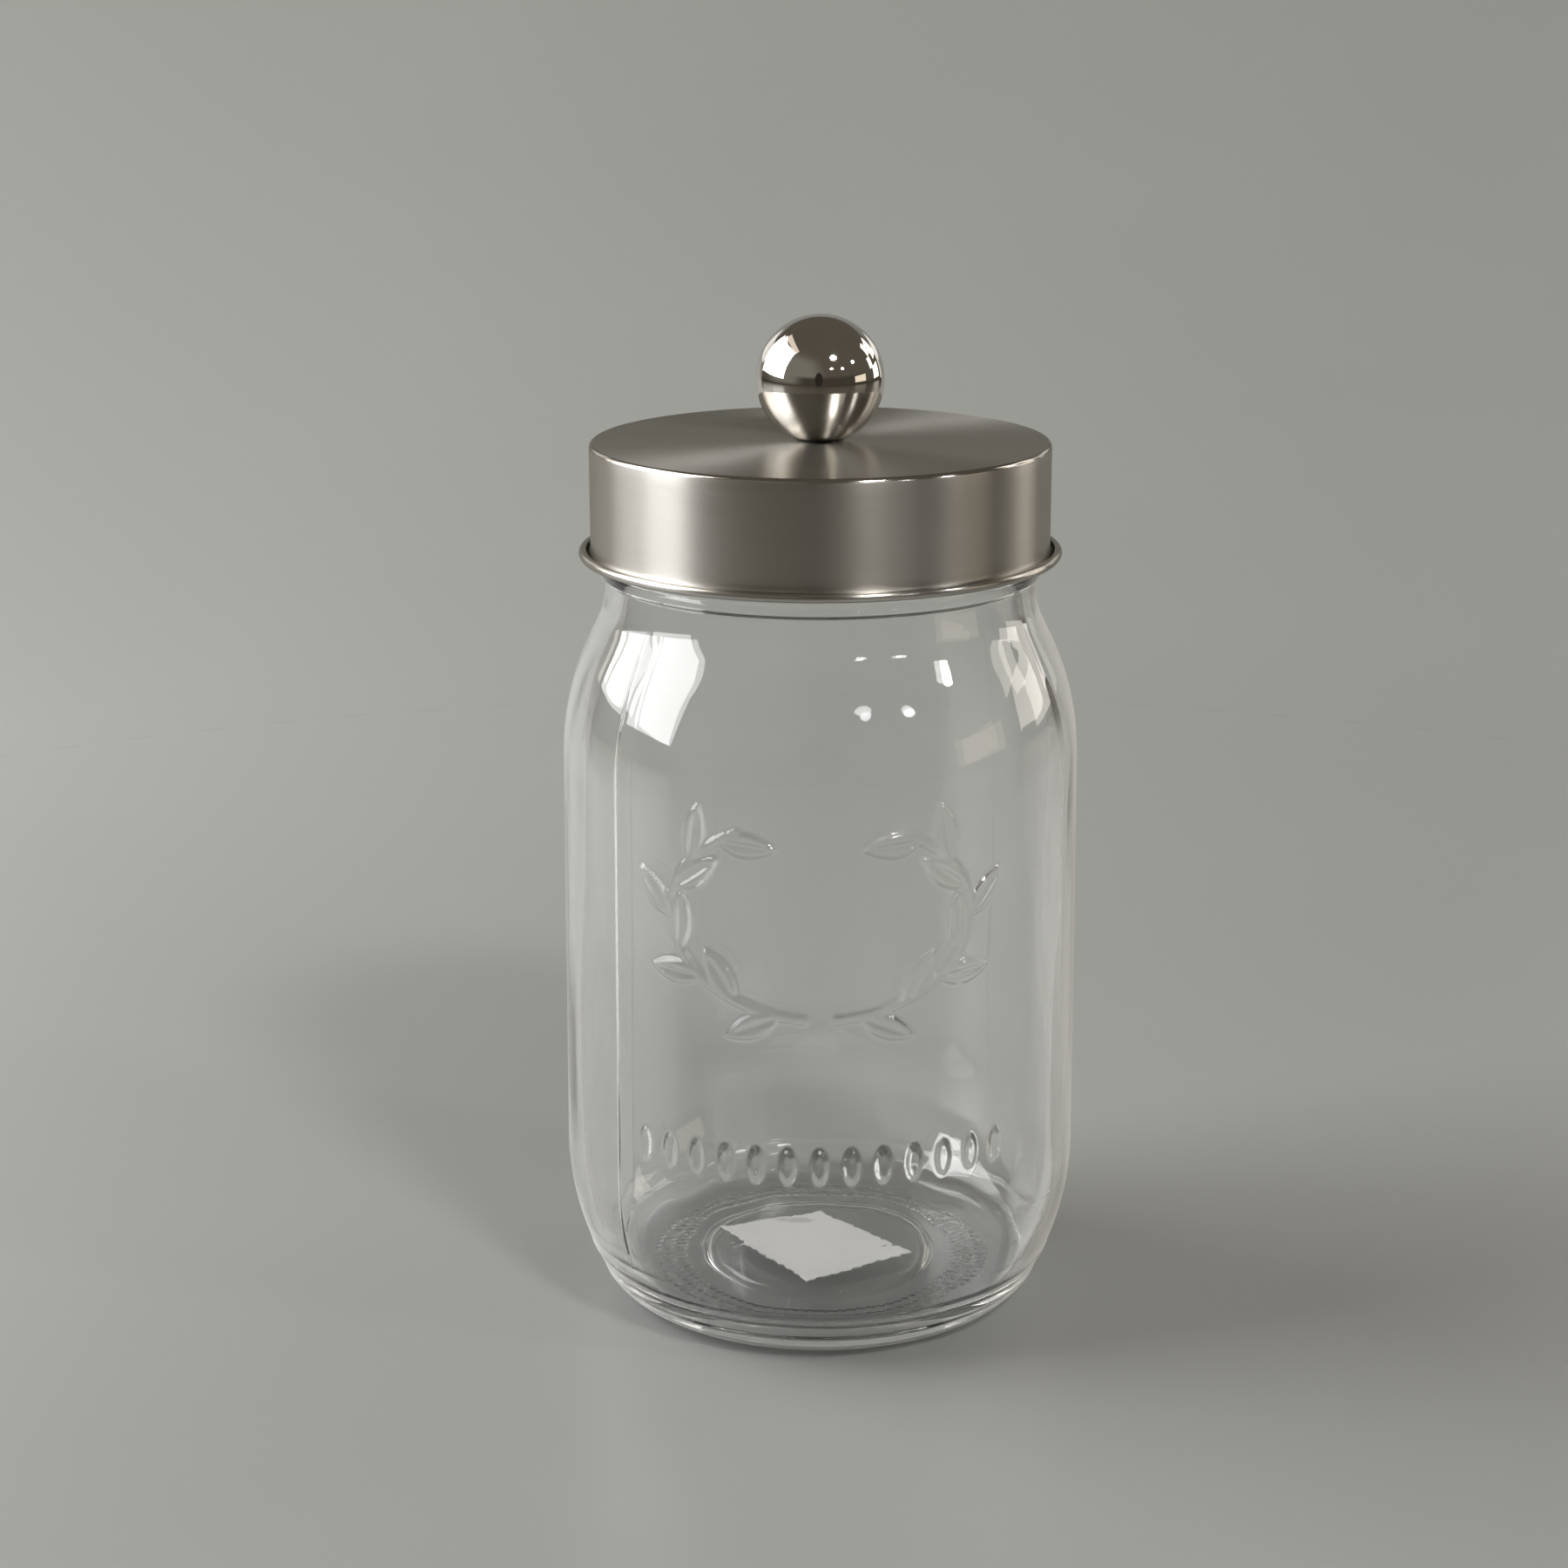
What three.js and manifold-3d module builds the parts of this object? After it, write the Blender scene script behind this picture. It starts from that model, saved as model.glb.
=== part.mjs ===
// A round glass canister with a drawn steel slip-on lid and a ball knob.
// Millimetres, +Z up. The origin is the middle of the base, on the surface that the canister stands on.
// The front, where the raised wreath is, faces -Y.

import * as THREE from 'three';
import { mergeVertices } from 'three/addons/utils/BufferGeometryUtils.js';
import Module from 'manifold-3d';

const wasm = await Module();
wasm.setup();

// ---------------------------------------------------------------- driving dimensions

const JAR_HEIGHT = 138.1;          // foot to sealing rim
const GLASS = 3.0;                 // wall of the body and the shoulder
const JAR_SIDES = 48;              // facets around the glass

const FOOT_RADIUS = 34.1;          // corner of the outline where the foot would meet the heel's flank
const FOOT_FILLET = 7.0;
const HEEL_RADIUS = 41.55;         // widest point of the body
const HEEL_HEIGHT = 16.1;
const HEEL_FILLET = 44;
const SHOULDER_RADIUS = 40.85;
const SHOULDER_RISE = 13.4;        // height of the sloping shoulder
const SHOULDER_FILLET = 42;
const COLLAR_FILLET = 14;          // where the shoulder turns into the neck

const PUSH_UP_HEIGHT = 2.2;        // hollow under the base
const PUSH_UP_RADIUS = 18.4;
const PUSH_UP_SLOPE = 1.4;         // how much wider the hollow is at the foot
const PUSH_UP_FILLET = 1.2;
const FOOT_EDGE_FILLET = 0.6;      // where the hollow meets the foot
const FLOOR_THICKNESS = 4.0;       // glass above the push-up
const FLOOR_FILLET = 2.5;          // inside corner between floor and wall
const INNER_HEEL_FILLET = 38;      // inside, where the wall turns in towards the floor
const INSIDE_ARC_STEPS = 4;

const THREAD_RADIUS = 34.4;        // crest of the screw finish, which the mouth and the lid are sized from
const THREAD_DEPTH = 1.4;
const THREAD_PITCH = 5.08;
const THREAD_TURNS = 1.15;
const THREAD_BASE = 2.6;           // width of the ridge at its root
const THREAD_CREST = 0.9;
const THREAD_START_DROP = 4.2;     // rim to the upper end of the ridge
const THREAD_RUNOUT = 0.1;         // turns over which each end of the ridge fades
const THREAD_END_SHARE = 0.02;     // of its depth, what is left of the ridge at its very ends
const THREAD_STEPS_PER_TURN = 28;
const FINISH_HEIGHT = 19.1;        // under the transfer bead to the rim
const RIM_FILLET = 0.9;

const TRANSFER_BEAD_STEP = 0.2;    // how far the bead stands past the thread's crest
const TRANSFER_BEAD_WIDTH = 2.4;
const TRANSFER_BEAD_FILLET = 0.6;
const NECK_STEP = 1.0;             // how far the neck lies inside the thread's crest
const NECK_FILLET = 0.45;          // in the corner under the transfer bead
const NECK_GLASS = 2.9;
const COLLAR_STEP = 0.9;           // how far the neck widens down to the shoulder
const COLLAR_DROP = 5.4;           // transfer bead to the shoulder
const MOUTH_FILLET = 12;           // inside, where the mouth meets the neck

const LEAF_RELIEF = 0.65;          // how far the leaves stand proud of the glass
const OVAL_RELIEF = 0.42;          // and the ovals of the band
const EMBED = 0.9;                 // how deep added glass is rooted in the wall
const SEAM_WIDTH = 0.7;
const SEAM_RELIEF = 0.18;
const SEAM_MARGIN = 10;            // from the heel and from the shoulder to the seam's ends
const SEAM_AZIMUTHS = [-139.5, 40.5]; // degrees from +X, where the mould's halves met

const WREATH_DROP = 25.7;          // shoulder to the centre of the wreath
const WREATH_HALF_WIDTH = 24;
const WREATH_HALF_HEIGHT = 15.5;
const WREATH_START = -84;          // degrees along the ellipse, at the bottom
const WREATH_END = 58;             // and at the open top
const LEAVES_PER_SIDE = 8;
const LEAF_LENGTH = 9.6;
const LEAF_WIDTH = 4.4;
const LEAF_SPLAY = 34;             // degrees between a leaf and its stem
const LEAF_SIDES = 6;
const STEM_WIDTH = 1.8;
const STEM_RELIEF = 0.49;
const STEM_STEPS = 10;

const BAND_RISE = 19.4;            // heel to the middle of the row of raised ovals low on the front
const BAND_OVALS = 13;
const BAND_PITCH = 4.9;
const BAND_OVAL_WIDTH = 2.8;
const BAND_OVAL_HEIGHT = 6.6;
const BAND_OVAL_SIDES = 10;

const LABEL_WIDTH = 19.6;
const LABEL_LENGTH = 24.7;
const LABEL_THICKNESS = 0.2;
const LABEL_TURN = 32;             // degrees about Z
const LABEL_SHIFT = [-0.75, -2.8]; // from the middle of the floor

const LID_SIDES = 48;
const SHEET = 0.5;
const LID_CLEARANCE = 1.1;         // radial, between the thread's crest and the inside of the lid
const LID_BEAD_GAP = 0.6;          // between the transfer bead and the lid's rolled edge
const LID_CORNER = 0.75;           // outside radius where the top turns into the wall
const CURL_RADIUS = 0.75;          // outside radius of the roll
const CURL_REACH = 1.9;            // how far the roll stands out from the wall
const CURL_SWEEP = 215;            // degrees from straight down to the roll's open edge
const CURL_FLARE = 1.4;            // height over which the wall turns out under the roll
const CURL_STEPS = 6;
const FLARE_STEPS = 4;

const GASKET_THICKNESS = 1.0;
const GASKET_WALL_GAP = 0.35;      // between the ring and the inside of the lid's wall
const GASKET_OVERHANG = 0.8;       // how far the ring reaches inwards past the mouth's edge
const GASKET_LIP = 2.2;            // height of the skirt outside the rim
const GASKET_SKIRT = 0.9;

const KNOB_SIDES = 36;
const BALL_RADIUS = 10.0;
const BALL_FLAT_DROP = 9.4;        // ball's centre to its flat
const BALL_DRILL_POINT = 1.1;      // depth of the cone at the end of the ball's hole
const BALL_STEPS = 16;

const SCREW_SIDES = 24;
const SCREW_RADIUS = 2.0;
const SCREW_HEAD_RADIUS = 4.0;
const SCREW_HEAD_HEIGHT = 2.4;
const SCREW_HEAD_FILLET = 1.2;
const SCREW_REACH = 7.2;           // into the ball
const SCREW_TIP_CLEARANCE = 1.4;   // to the end of the ball's hole
const SCREW_GROOVES = 6;           // of its thread
const SCREW_GROOVE_DEPTH = 0.22;
const SCREW_TIP_CHAMFER = 0.44;
const RECESS_SPAN = 4.4;
const RECESS_WIDTH = 1.1;
const RECESS_DEPTH = 1.5;
const SCREW_CLEARANCE = 0.32;      // radial, in the ball, the lid and the washers

const FLAT_WASHER_RADIUS = 4.5;
const FLAT_WASHER_THICKNESS = 0.8;
const SPRING_WASHER_RADIUS = 3.7;
const SPRING_WASHER_THICKNESS = 1.0;
const SPRING_WASHER_SLIT = 0.8;
const SPRING_WASHER_SLANT = 30;    // degrees of the slit to the washer's axis

const SEAT_GAP = 0.1;              // between two flat faces that rest on each other
const RIM_GAP = 0.3;               // between the seal and the rim, which part when the lid lifts

// ---------------------------------------------------------------- dimensions that follow

const DEG = Math.PI / 180;
const FRONT = -Math.PI / 2;
const TRANSFER_BEAD_BOTTOM = JAR_HEIGHT - FINISH_HEIGHT;
const TRANSFER_BEAD_TOP = TRANSFER_BEAD_BOTTOM + TRANSFER_BEAD_WIDTH;
const COLLAR_HEIGHT = TRANSFER_BEAD_BOTTOM - COLLAR_DROP;
const SHOULDER_HEIGHT = COLLAR_HEIGHT - SHOULDER_RISE;
const WREATH_HEIGHT = SHOULDER_HEIGHT - WREATH_DROP;
const BAND_HEIGHT = HEEL_HEIGHT + BAND_RISE;
const FLOOR_HEIGHT = PUSH_UP_HEIGHT + FLOOR_THICKNESS;
const FINISH_RADIUS = THREAD_RADIUS - THREAD_DEPTH;
const TRANSFER_BEAD_RADIUS = THREAD_RADIUS + TRANSFER_BEAD_STEP;
const NECK_RADIUS = THREAD_RADIUS - NECK_STEP;
const COLLAR_RADIUS = NECK_RADIUS + COLLAR_STEP;
const MOUTH_RADIUS = NECK_RADIUS - NECK_GLASS;
const LID_TOP = JAR_HEIGHT + RIM_GAP + GASKET_THICKNESS + SEAT_GAP + SHEET;
const LID_UNDERSIDE = LID_TOP - SHEET;
const LID_BOTTOM = TRANSFER_BEAD_TOP + LID_BEAD_GAP;
const LID_INSIDE_RADIUS = THREAD_RADIUS + LID_CLEARANCE;
const LID_WALL_RADIUS = LID_INSIDE_RADIUS + SHEET;
const BALL_FLAT = LID_TOP + SEAT_GAP;
const BALL_CENTRE = BALL_FLAT + BALL_FLAT_DROP;
const BALL_HOLE_DEPTH = SCREW_REACH + SCREW_TIP_CLEARANCE;
const SCREW_HOLE_RADIUS = SCREW_RADIUS + SCREW_CLEARANCE;
const FLAT_WASHER_TOP = LID_UNDERSIDE - SEAT_GAP;
const SPRING_WASHER_TOP = FLAT_WASHER_TOP - FLAT_WASHER_THICKNESS - SEAT_GAP;
const SCREW_SEAT = SPRING_WASHER_TOP - SPRING_WASHER_THICKNESS - SEAT_GAP;

// ---------------------------------------------------------------- finishes

const finish = (color, roughness, metalness, extra = {}) =>
  new THREE.MeshStandardMaterial({ color, roughness, metalness, ...extra });

const FINISHES = {
  glass: finish(0xe9efee, 0.05, 0.0, { transparent: true, opacity: 0.35 }),
  paper: finish(0xdedcd7, 0.9, 0.0),
  brushed: finish(0xa39e94, 0.35, 1.0),
  polished: finish(0xc9c5be, 0.06, 1.0),
  silicone: finish(0xd9dad6, 0.6, 0.0),
  zinc: finish(0xb9bcbf, 0.3, 1.0),
};

// ---------------------------------------------------------------- outlines

const repeated = (count, make) => Array.from({ length: count }, (_, i) => make(i));

const ARC_STEPS = 3;               // along a fillet
const STRAIGHT = 0.01;             // radians under which a corner isn't rounded
const FULLEST = 0.98;              // of a side, the most that the arcs at its two ends take up

/**
 * Outline with a true arc at each corner that has a fillet. Corners are [radius, height, fillet = 0].
 * Where two arcs would overlap on the side between them, both shrink until they fit.
 */
function filleted(corners, divisions = ARC_STEPS) {
  const spots = corners.map(([x, y]) => new THREE.Vector2(x, y));
  const last = corners.length - 1;
  const bends = spots.map((corner, i) => {
    if (i === 0 || i === last) return { reach: 0 };
    const back = spots[i - 1].clone().sub(corner).normalize();
    const on = spots[i + 1].clone().sub(corner).normalize();
    const half = Math.acos(THREE.MathUtils.clamp(back.dot(on), -1, 1)) / 2;
    const fillet = Math.PI / 2 - half < STRAIGHT ? 0 : corners[i][2] ?? 0;
    return { back, on, half, reach: fillet / Math.tan(half) };
  });
  const room = repeated(last, (i) => {
    const wanted = bends[i].reach + bends[i + 1].reach;
    return Math.min(1, (spots[i].distanceTo(spots[i + 1]) * FULLEST) / wanted);
  });
  return spots.flatMap((corner, i) => {
    const { back, on, half, reach } = bends[i];
    if (!reach) return [corner];
    const length = reach * Math.min(room[i - 1], room[i]);
    const centre = back.clone().add(on).normalize().multiplyScalar(length / Math.cos(half)).add(corner);
    const start = back.clone().multiplyScalar(length).add(corner).sub(centre);
    const end = on.clone().multiplyScalar(length).add(corner).sub(centre);
    const turn = Math.atan2(start.cross(end), start.dot(end));
    return repeated(divisions + 1, (k) =>
      start.clone().rotateAround(new THREE.Vector2(), (turn * k) / divisions).add(centre));
  });
}

/** The same corners moved sideways by a distance, to the left of the way they run. */
function offsetCorners(corners, distance) {
  const at = (i) => new THREE.Vector2(corners[i][0], corners[i][1]);
  const side = (i) => {
    const along = at(i + 1).sub(at(i)).normalize();
    return new THREE.Vector2(-along.y, along.x);
  };
  return corners.map((corner, i) => {
    const before = side(Math.max(0, i - 1));
    const after = side(Math.min(corners.length - 2, i));
    const miter = before.clone().add(after).multiplyScalar(distance / (1 + before.dot(after)));
    return [corner[0] + miter.x, corner[1] + miter.y, corner[2]];
  });
}

/** Closed outline of sheet metal of one thickness along a centre line. */
function sheetOutline(centreLine, thickness) {
  const side = (i) => {
    const from = centreLine[Math.max(0, i - 1)];
    const to = centreLine[Math.min(centreLine.length - 1, i + 1)];
    const along = to.clone().sub(from).normalize();
    return new THREE.Vector2(-along.y, along.x).multiplyScalar(thickness / 2);
  };
  const left = centreLine.map((point, i) => point.clone().add(side(i)));
  const right = centreLine.map((point, i) => point.clone().sub(side(i)));
  return [...right, ...left.reverse()];
}

const shoelace = (points) => points.reduce((sum, p, i) => sum + p.cross(points[(i + 1) % points.length]), 0);

// ---------------------------------------------------------------- solids

const WELD = 1e-4;

/** Only the welded vertices and triangles of a geometry. */
function welded(geometry) {
  const bare = new THREE.BufferGeometry();
  bare.setAttribute('position', geometry.getAttribute('position').clone());
  bare.setIndex(geometry.index ? geometry.index.clone() : null);
  return mergeVertices(bare, WELD);
}

/** Turns an outline in radius and height about Z. A ring's outline is closed on itself. */
function revolved(outline, sides) {
  const points = shoelace(outline) < 0 ? [...outline].reverse() : [...outline];
  const onAxis = outline[0].x === 0 && outline[outline.length - 1].x === 0;
  if (!onAxis) points.push(points[0].clone());
  const geometry = new THREE.LatheGeometry(points, sides);
  geometry.rotateX(Math.PI / 2);
  return cleaned(welded(geometry));
}

/** Drops the triangles that have no area, as at the axis of a revolved outline, and turns all faces out. */
function cleaned(geometry) {
  const { array } = geometry.index;
  const position = geometry.getAttribute('position');
  const corner = (i) => new THREE.Vector3().fromBufferAttribute(position, i);
  const kept = [];
  let volume = 0;
  for (let i = 0; i < array.length; i += 3) {
    const [a, b, c] = [array[i], array[i + 1], array[i + 2]];
    if (a === b || b === c || c === a) continue;
    kept.push(a, b, c);
    volume += corner(a).dot(corner(b).cross(corner(c)));
  }
  geometry.setIndex(volume < 0 ? kept.reverse() : kept);
  return geometry;
}

function toManifold(geometry) {
  const clean = cleaned(welded(geometry));
  return new wasm.Manifold(new wasm.Mesh({
    numProp: 3,
    vertProperties: Float32Array.from(clean.getAttribute('position').array),
    triVerts: Uint32Array.from(clean.index.array),
  }));
}

function fromManifold(solid) {
  const { vertProperties, triVerts } = solid.getMesh();
  const geometry = new THREE.BufferGeometry();
  geometry.setAttribute('position', new THREE.BufferAttribute(vertProperties, 3));
  geometry.setIndex(new THREE.BufferAttribute(triVerts, 1));
  return geometry;
}

/** Skins a row of closed sections, each a list of as many points, and caps both ends. */
function lofted(sections) {
  const size = sections[0].length;
  const index = [];
  for (let s = 0; s < sections.length - 1; s += 1) {
    for (let k = 0; k < size; k += 1) {
      const a = s * size + k;
      const b = s * size + ((k + 1) % size);
      index.push(a, b, b + size, a, b + size, a + size);
    }
  }
  const end = (sections.length - 1) * size;
  for (let k = 1; k < size - 1; k += 1) {
    index.push(0, k + 1, k);
    index.push(end, end + k, end + k + 1);
  }
  const geometry = new THREE.BufferGeometry();
  const values = sections.flat().flatMap((p) => [p.x, p.y, p.z]);
  geometry.setAttribute('position', new THREE.Float32BufferAttribute(values, 3));
  geometry.setIndex(index);
  return geometry;
}

const polar = (radius, azimuth, height) =>
  new THREE.Vector3(radius * Math.cos(azimuth), radius * Math.sin(azimuth), height);

// ---------------------------------------------------------------- the glass

/** Corners of the jar's outside between the foot and the transfer bead. */
const BODY_CORNERS = [
  [PUSH_UP_RADIUS + PUSH_UP_SLOPE, 0, FOOT_EDGE_FILLET],
  [FOOT_RADIUS, 0, FOOT_FILLET],
  [HEEL_RADIUS, HEEL_HEIGHT, HEEL_FILLET],
  [SHOULDER_RADIUS, SHOULDER_HEIGHT, SHOULDER_FILLET],
  [COLLAR_RADIUS, COLLAR_HEIGHT, COLLAR_FILLET],
  [NECK_RADIUS, TRANSFER_BEAD_BOTTOM, NECK_FILLET],
];

/** Radius of the body's outside at a height. */
function bodyRadius(height) {
  const outline = filleted(BODY_CORNERS);
  const above = outline.findIndex((point, i) => i > 0 && point.y >= height);
  const [low, high] = [outline[above - 1], outline[above]];
  return THREE.MathUtils.lerp(low.x, high.x, (height - low.y) / (high.y - low.y));
}

function jarOutline() {
  const outside = filleted([
    [0, PUSH_UP_HEIGHT],
    [PUSH_UP_RADIUS, PUSH_UP_HEIGHT, PUSH_UP_FILLET],
    ...BODY_CORNERS,
    [TRANSFER_BEAD_RADIUS, TRANSFER_BEAD_BOTTOM, TRANSFER_BEAD_FILLET],
    [TRANSFER_BEAD_RADIUS, TRANSFER_BEAD_TOP, TRANSFER_BEAD_FILLET],
    [FINISH_RADIUS, TRANSFER_BEAD_TOP],
    [FINISH_RADIUS, JAR_HEIGHT, RIM_FILLET],
    [MOUTH_RADIUS, JAR_HEIGHT, RIM_FILLET],
    [MOUTH_RADIUS, TRANSFER_BEAD_BOTTOM],
  ]);
  const [foot, heel, shoulder, collar] = offsetCorners(BODY_CORNERS.slice(1), GLASS);
  const onFlank = (FLOOR_HEIGHT - foot[1]) / (heel[1] - foot[1]);
  const wall = filleted([
    [MOUTH_RADIUS, JAR_HEIGHT],
    [MOUTH_RADIUS, TRANSFER_BEAD_BOTTOM, MOUTH_FILLET],
    collar,
    shoulder,
    [heel[0], heel[1], INNER_HEEL_FILLET],
    [THREE.MathUtils.lerp(foot[0], heel[0], onFlank), FLOOR_HEIGHT, FLOOR_FILLET],
    [0, FLOOR_HEIGHT],
  ], INSIDE_ARC_STEPS);
  return [...outside.slice(0, -1), ...wall.slice(1)];
}

/** The screw ridge: one helix around the finish, which fades out at both ends. */
function threadRidge() {
  const steps = Math.round(THREAD_TURNS * THREAD_STEPS_PER_TURN);
  const root = FINISH_RADIUS - EMBED;
  return lofted(repeated(steps + 1, (i) => {
    const turn = (i / steps) * THREAD_TURNS;
    const azimuth = turn * 2 * Math.PI;
    const height = JAR_HEIGHT - THREAD_START_DROP - turn * THREAD_PITCH;
    const fade = Math.min(turn, THREAD_TURNS - turn) / THREAD_RUNOUT;
    const share = THREE.MathUtils.clamp(fade, THREAD_END_SHARE, 1);
    const crest = THREE.MathUtils.lerp(FINISH_RADIUS, THREAD_RADIUS, share);
    return [
      polar(root, azimuth, height - THREAD_BASE / 2),
      polar(root, azimuth, height + THREAD_BASE / 2),
      polar(FINISH_RADIUS, azimuth, height + THREAD_BASE / 2),
      polar(crest, azimuth, height + THREAD_CREST / 2),
      polar(crest, azimuth, height - THREAD_CREST / 2),
      polar(FINISH_RADIUS, azimuth, height - THREAD_BASE / 2),
    ];
  }));
}

/** A thin raised line up the straight body where two halves of the mould met. */
function seam(azimuth) {
  const half = SEAM_WIDTH / 2 / HEEL_RADIUS;
  const [low, high] = [HEEL_HEIGHT + SEAM_MARGIN, SHOULDER_HEIGHT - SEAM_MARGIN];
  const heights = [low, (low + high) / 2, high];
  return lofted(heights.map((height) => {
    const wall = bodyRadius(height);
    return [
      polar(wall - EMBED, azimuth - half, height),
      polar(wall - EMBED, azimuth + half, height),
      polar(wall + SEAM_RELIEF, azimuth, height),
    ];
  }));
}

/** A point on the front: x around the wall, height, and how far it stands out from the glass. */
const onFront = (x, height, rise) =>
  polar(bodyRadius(height) + rise, FRONT + x / HEEL_RADIUS, height);

/**
 * A raised mound on the front, around (x, z) and long in the direction of its heading.
 * Its rings are [share of the length, share of the width, how far out].
 */
function mound({ x, z, heading, length, width, sides }, rings) {
  const [cos, sin] = [Math.cos(heading), Math.sin(heading)];
  return lofted(rings.map(([long, wide, rise]) => repeated(sides, (k) => {
    const angle = (k / sides) * 2 * Math.PI;
    const along = (length / 2) * long * Math.cos(angle);
    const across = (width / 2) * wide * Math.sin(angle);
    return onFront(x + along * cos - across * sin, z + along * sin + across * cos, rise);
  })));
}

const LEAF_RINGS = [[1, 1, -EMBED], [1, 1, 0], [0.8, 0.6, 0.85 * LEAF_RELIEF], [0.6, 0.2, LEAF_RELIEF]];
const OVAL_RINGS = [[1, 1, -EMBED], [1, 1, 0], [0.8, 0.75, 0.7 * OVAL_RELIEF], [0.6, 0.5, OVAL_RELIEF]];

/** A low ridged leaf, from its foot at (x, z) and along a heading from +x. */
function leaf(x, z, heading) {
  const half = LEAF_LENGTH / 2;
  const middle = { x: x + half * Math.cos(heading), z: z + half * Math.sin(heading) };
  return mound({ ...middle, heading, length: LEAF_LENGTH, width: LEAF_WIDTH, sides: LEAF_SIDES }, LEAF_RINGS);
}

/** Place and heading on one branch of the wreath, at a share of the way from its foot to its tip. */
function branchAt(share, side) {
  const around = THREE.MathUtils.lerp(WREATH_START, WREATH_END, share) * DEG;
  const x = WREATH_HALF_WIDTH * Math.cos(around);
  const z = WREATH_HEIGHT + WREATH_HALF_HEIGHT * Math.sin(around);
  const [run, climb] = [-WREATH_HALF_WIDTH * Math.sin(around), WREATH_HALF_HEIGHT * Math.cos(around)];
  const heading = Math.atan2(climb, side * run);
  return { x: side * x, z, heading };
}

/** The thin raised stem of one branch. */
function stem(side) {
  return lofted(repeated(STEM_STEPS + 1, (i) => {
    const { x, z, heading } = branchAt(i / STEM_STEPS, side);
    const [across, up] = [(-Math.sin(heading) * STEM_WIDTH) / 2, (Math.cos(heading) * STEM_WIDTH) / 2];
    return [
      onFront(x - across, z - up, -EMBED),
      onFront(x + across, z + up, -EMBED),
      onFront(x + across, z + up, 0),
      onFront(x, z, STEM_RELIEF),
      onFront(x - across, z - up, 0),
    ];
  }));
}

/** Two mirrored branches with leaves on alternate sides, which rise from the bottom and stay apart on top. */
function wreath() {
  const pieces = [];
  for (const side of [-1, 1]) {
    pieces.push(stem(side));
    for (let i = 0; i < LEAVES_PER_SIDE; i += 1) {
      const { x, z, heading } = branchAt((i + 0.5) / LEAVES_PER_SIDE, side);
      const splay = (i % 2 ? LEAF_SPLAY : -LEAF_SPLAY) * side * DEG;
      pieces.push(leaf(x, z, heading + splay));
    }
  }
  return pieces;
}

/** A raised upright oval of the band low on the front. */
function bandOval(i) {
  const x = (i - (BAND_OVALS - 1) / 2) * BAND_PITCH;
  const size = { length: BAND_OVAL_HEIGHT, width: BAND_OVAL_WIDTH, sides: BAND_OVAL_SIDES };
  return mound({ x, z: BAND_HEIGHT, heading: Math.PI / 2, ...size }, OVAL_RINGS);
}

function glassJar() {
  const added = [
    threadRidge(),
    ...SEAM_AZIMUTHS.map((azimuth) => seam(azimuth * DEG)),
    ...wreath(),
    ...repeated(BAND_OVALS, bandOval),
  ];
  let jar = toManifold(revolved(jarOutline(), JAR_SIDES));
  for (const geometry of added) jar = jar.add(toManifold(geometry));
  return fromManifold(jar);
}

/** The blank piece of paper, which lies flat on the floor inside the jar. */
function baseLabel() {
  const paper = new THREE.BoxGeometry(LABEL_WIDTH, LABEL_LENGTH, LABEL_THICKNESS);
  paper.rotateZ(LABEL_TURN * DEG);
  paper.translate(...LABEL_SHIFT, FLOOR_HEIGHT + SEAT_GAP + LABEL_THICKNESS / 2);
  return paper;
}

// ---------------------------------------------------------------- the lid

/** Centre line of the sheet, from the screw hole to the open edge of the roll. */
function lidCentreLine() {
  const wall = LID_WALL_RADIUS - SHEET / 2;
  const top = LID_TOP - SHEET / 2;
  const roll = CURL_RADIUS - SHEET / 2;
  const centre = new THREE.Vector2(LID_WALL_RADIUS + CURL_REACH - CURL_RADIUS, LID_BOTTOM + CURL_RADIUS);
  const line = filleted([
    [SCREW_HOLE_RADIUS, top],
    [wall, top, LID_CORNER - SHEET / 2],
    [wall, centre.y + CURL_FLARE],
  ]);
  const flare = new THREE.QuadraticBezierCurve(
    new THREE.Vector2(wall, centre.y + CURL_FLARE),
    new THREE.Vector2(wall, centre.y - roll),
    new THREE.Vector2(centre.x, centre.y - roll),
  );
  line.push(...flare.getPoints(FLARE_STEPS).slice(1));
  for (let k = 1; k <= CURL_STEPS; k += 1) {
    const angle = (-90 + (CURL_SWEEP * k) / CURL_STEPS) * DEG;
    line.push(new THREE.Vector2(centre.x + roll * Math.cos(angle), centre.y + roll * Math.sin(angle)));
  }
  return line;
}

const lidShell = () => revolved(sheetOutline(lidCentreLine(), SHEET), LID_SIDES);

/** Soft ring between the lid and the rim, with a short skirt outside the glass. */
function lidGasket() {
  const outer = LID_INSIDE_RADIUS - GASKET_WALL_GAP;
  const top = LID_UNDERSIDE - SEAT_GAP;
  const bottom = top - GASKET_THICKNESS;
  const inner = MOUTH_RADIUS - GASKET_OVERHANG;
  return revolved([
    new THREE.Vector2(inner, bottom),
    new THREE.Vector2(outer - GASKET_SKIRT, bottom),
    new THREE.Vector2(outer - GASKET_SKIRT, bottom - GASKET_LIP),
    new THREE.Vector2(outer, bottom - GASKET_LIP),
    new THREE.Vector2(outer, top),
    new THREE.Vector2(inner, top),
  ], LID_SIDES);
}

// ---------------------------------------------------------------- the knob and its fastening

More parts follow.
